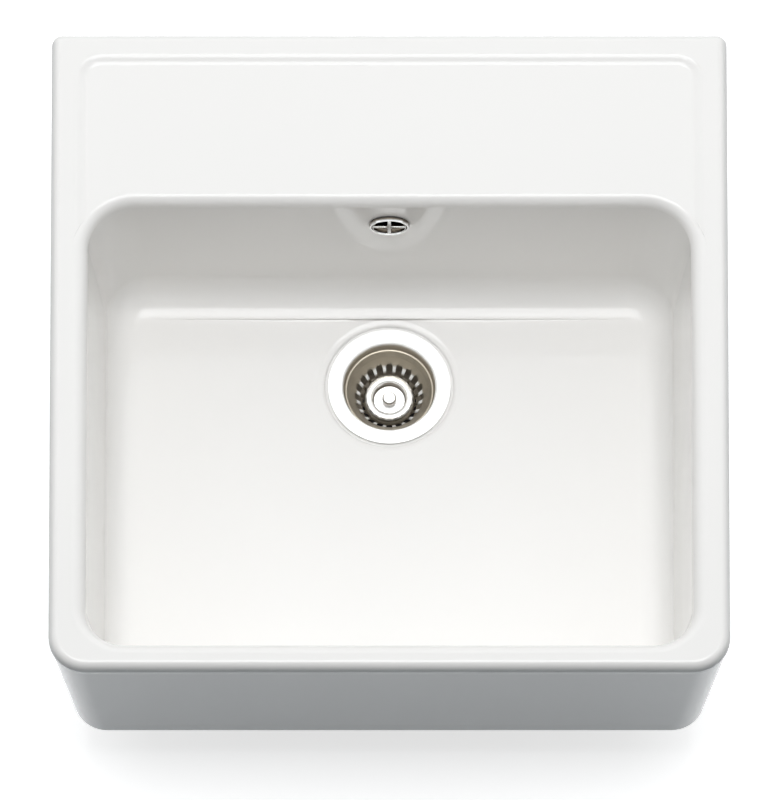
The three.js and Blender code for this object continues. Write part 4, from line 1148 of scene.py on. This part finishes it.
class SINK_OT_stage(bpy.types.Operator):
    """Set up the floor, lamps, surroundings and camera"""
    bl_idname = "sink.stage"
    bl_label = "Stage"

    def execute(self, context):
        stage = context.scene.sink_stage
        clear_selection()
        bpy.ops.mesh.primitive_plane_add(size=30, location=(0, 0, CAD_BOX[0][2] - 0.5 * MM))
        floor = bpy.context.object
        settle(floor)
        floor.name = "floor"
        floor.data.materials.append(floor_finish(stage))
        softbox("lamp_overhead", (0, 0.1, 3.5), (0, 0, 0), (1.7, 1.7), stage.overhead)
        softbox("lamp_behind", (0, 1.5, 2.6), (0, 0, 0), (5.0, 4.6), stage.softbox)
        for side, name in ((-1, "lamp_left"), (1, "lamp_right")):
            tilt = side * math.radians(68)
            softbox(name, (side * 3.0, 0.1, 1.4), (0, tilt, 0), (2.4, 2.4), stage.side_lamp)
        context.scene.world = surroundings(stage)
        camera = bpy.data.objects.new("camera", bpy.data.cameras.new("camera"))
        context.collection.objects.link(camera)
        aim = Vector((stage.aim_x, stage.aim_y, CERAMIC_HIGH.z))
        away = Vector((0, -math.cos(stage.elevation), math.sin(stage.elevation)))
        camera.location = aim + away * stage.distance
        camera.rotation_euler = (math.pi / 2 - stage.elevation, 0, 0)
        camera.data.lens = stage.lens
        camera.data.sensor_width = 36
        camera.data.clip_end = 60
        context.scene.camera = camera
        context.scene.view_settings.view_transform = "Standard"
        return {"FINISHED"}


def softbox(name, place, tilt, size, power):
    """A rectangular lamp that the camera doesn't see."""
    clear_selection()
    bpy.ops.object.light_add(type="AREA", location=place, rotation=tilt)
    lamp = bpy.context.object
    lamp.name = name
    lamp.data.shape = "RECTANGLE"
    lamp.data.size, lamp.data.size_y = size
    lamp.data.energy = power
    lamp.data.color = (0.975, 0.985, 1.0)
    lamp.visible_camera = False


def floor_finish(stage):
    """Pale floor: white as it is seen, with the sink's shadow, and darker as a source of bounced light."""
    r = Recipe("pale_floor")
    seen = r.seen()
    r.set(Base_Color=r.blend(seen, (*stage.bounce, 1), (0.9, 0.9, 0.9, 1)), Roughness=0.9,
          Specular_IOR_Level=0.0)
    r.set(Emission_Color=(1, 1, 1, 1), Emission_Strength=r.math("MULTIPLY", seen, stage.lift))
    return r.result


def surroundings(stage):
    """Soft dome: brighter behind the sink than before it, and white as it is seen or mirrored."""
    r = Recipe("studio", "worlds", "Background")
    depth = r.separate(r.coordinates["Generated"])["Y"]
    dome = r.ramp(depth, stage.dome * 0.12, stage.dome * 1.3, -0.7, 0.9)
    r.set(Color=(0.96, 0.99, 1.0, 1), Strength=r.blend_value(r.seen(), dome, 1.0))
    return r.result


# ---------------------------------------------------------------- panel and start

class SINK_PT_panel(bpy.types.Panel):
    """Buttons for each piece of the sink"""
    bl_label = "Farmhouse Sink"
    bl_idname = "SINK_PT_panel"
    bl_space_type = "VIEW_3D"
    bl_region_type = "UI"
    bl_category = "Sink"

    def draw(self, context):
        for operator in OPERATORS:
            self.layout.operator(operator.bl_idname)


GROUPS = (SinkCeramic, SinkFinishes, SinkStage)
OPERATORS = (SINK_OT_ceramic, SINK_OT_flange, SINK_OT_basket, SINK_OT_plug, SINK_OT_lower_body,
             SINK_OT_grille, SINK_OT_overflow_pipe, SINK_OT_stage)
CLASSES = GROUPS + OPERATORS + (SINK_PT_panel,)


def register():
    for cls in CLASSES:
        bpy.utils.register_class(cls)
    bpy.types.Scene.sink_ceramic = PointerProperty(type=SinkCeramic)
    bpy.types.Scene.sink_finishes = PointerProperty(type=SinkFinishes)
    bpy.types.Scene.sink_stage = PointerProperty(type=SinkStage)


def unregister():
    del bpy.types.Scene.sink_stage
    del bpy.types.Scene.sink_finishes
    del bpy.types.Scene.sink_ceramic
    for cls in reversed(CLASSES):
        bpy.utils.unregister_class(cls)


def main():
    register()
    bpy.ops.sink.ceramic()
    bpy.ops.sink.flange()
    bpy.ops.sink.basket()
    bpy.ops.sink.plug()
    bpy.ops.sink.lower_body()
    bpy.ops.sink.grille()
    bpy.ops.sink.overflow_pipe()
    bpy.ops.sink.stage()


if __name__ == "__main__":
    main()
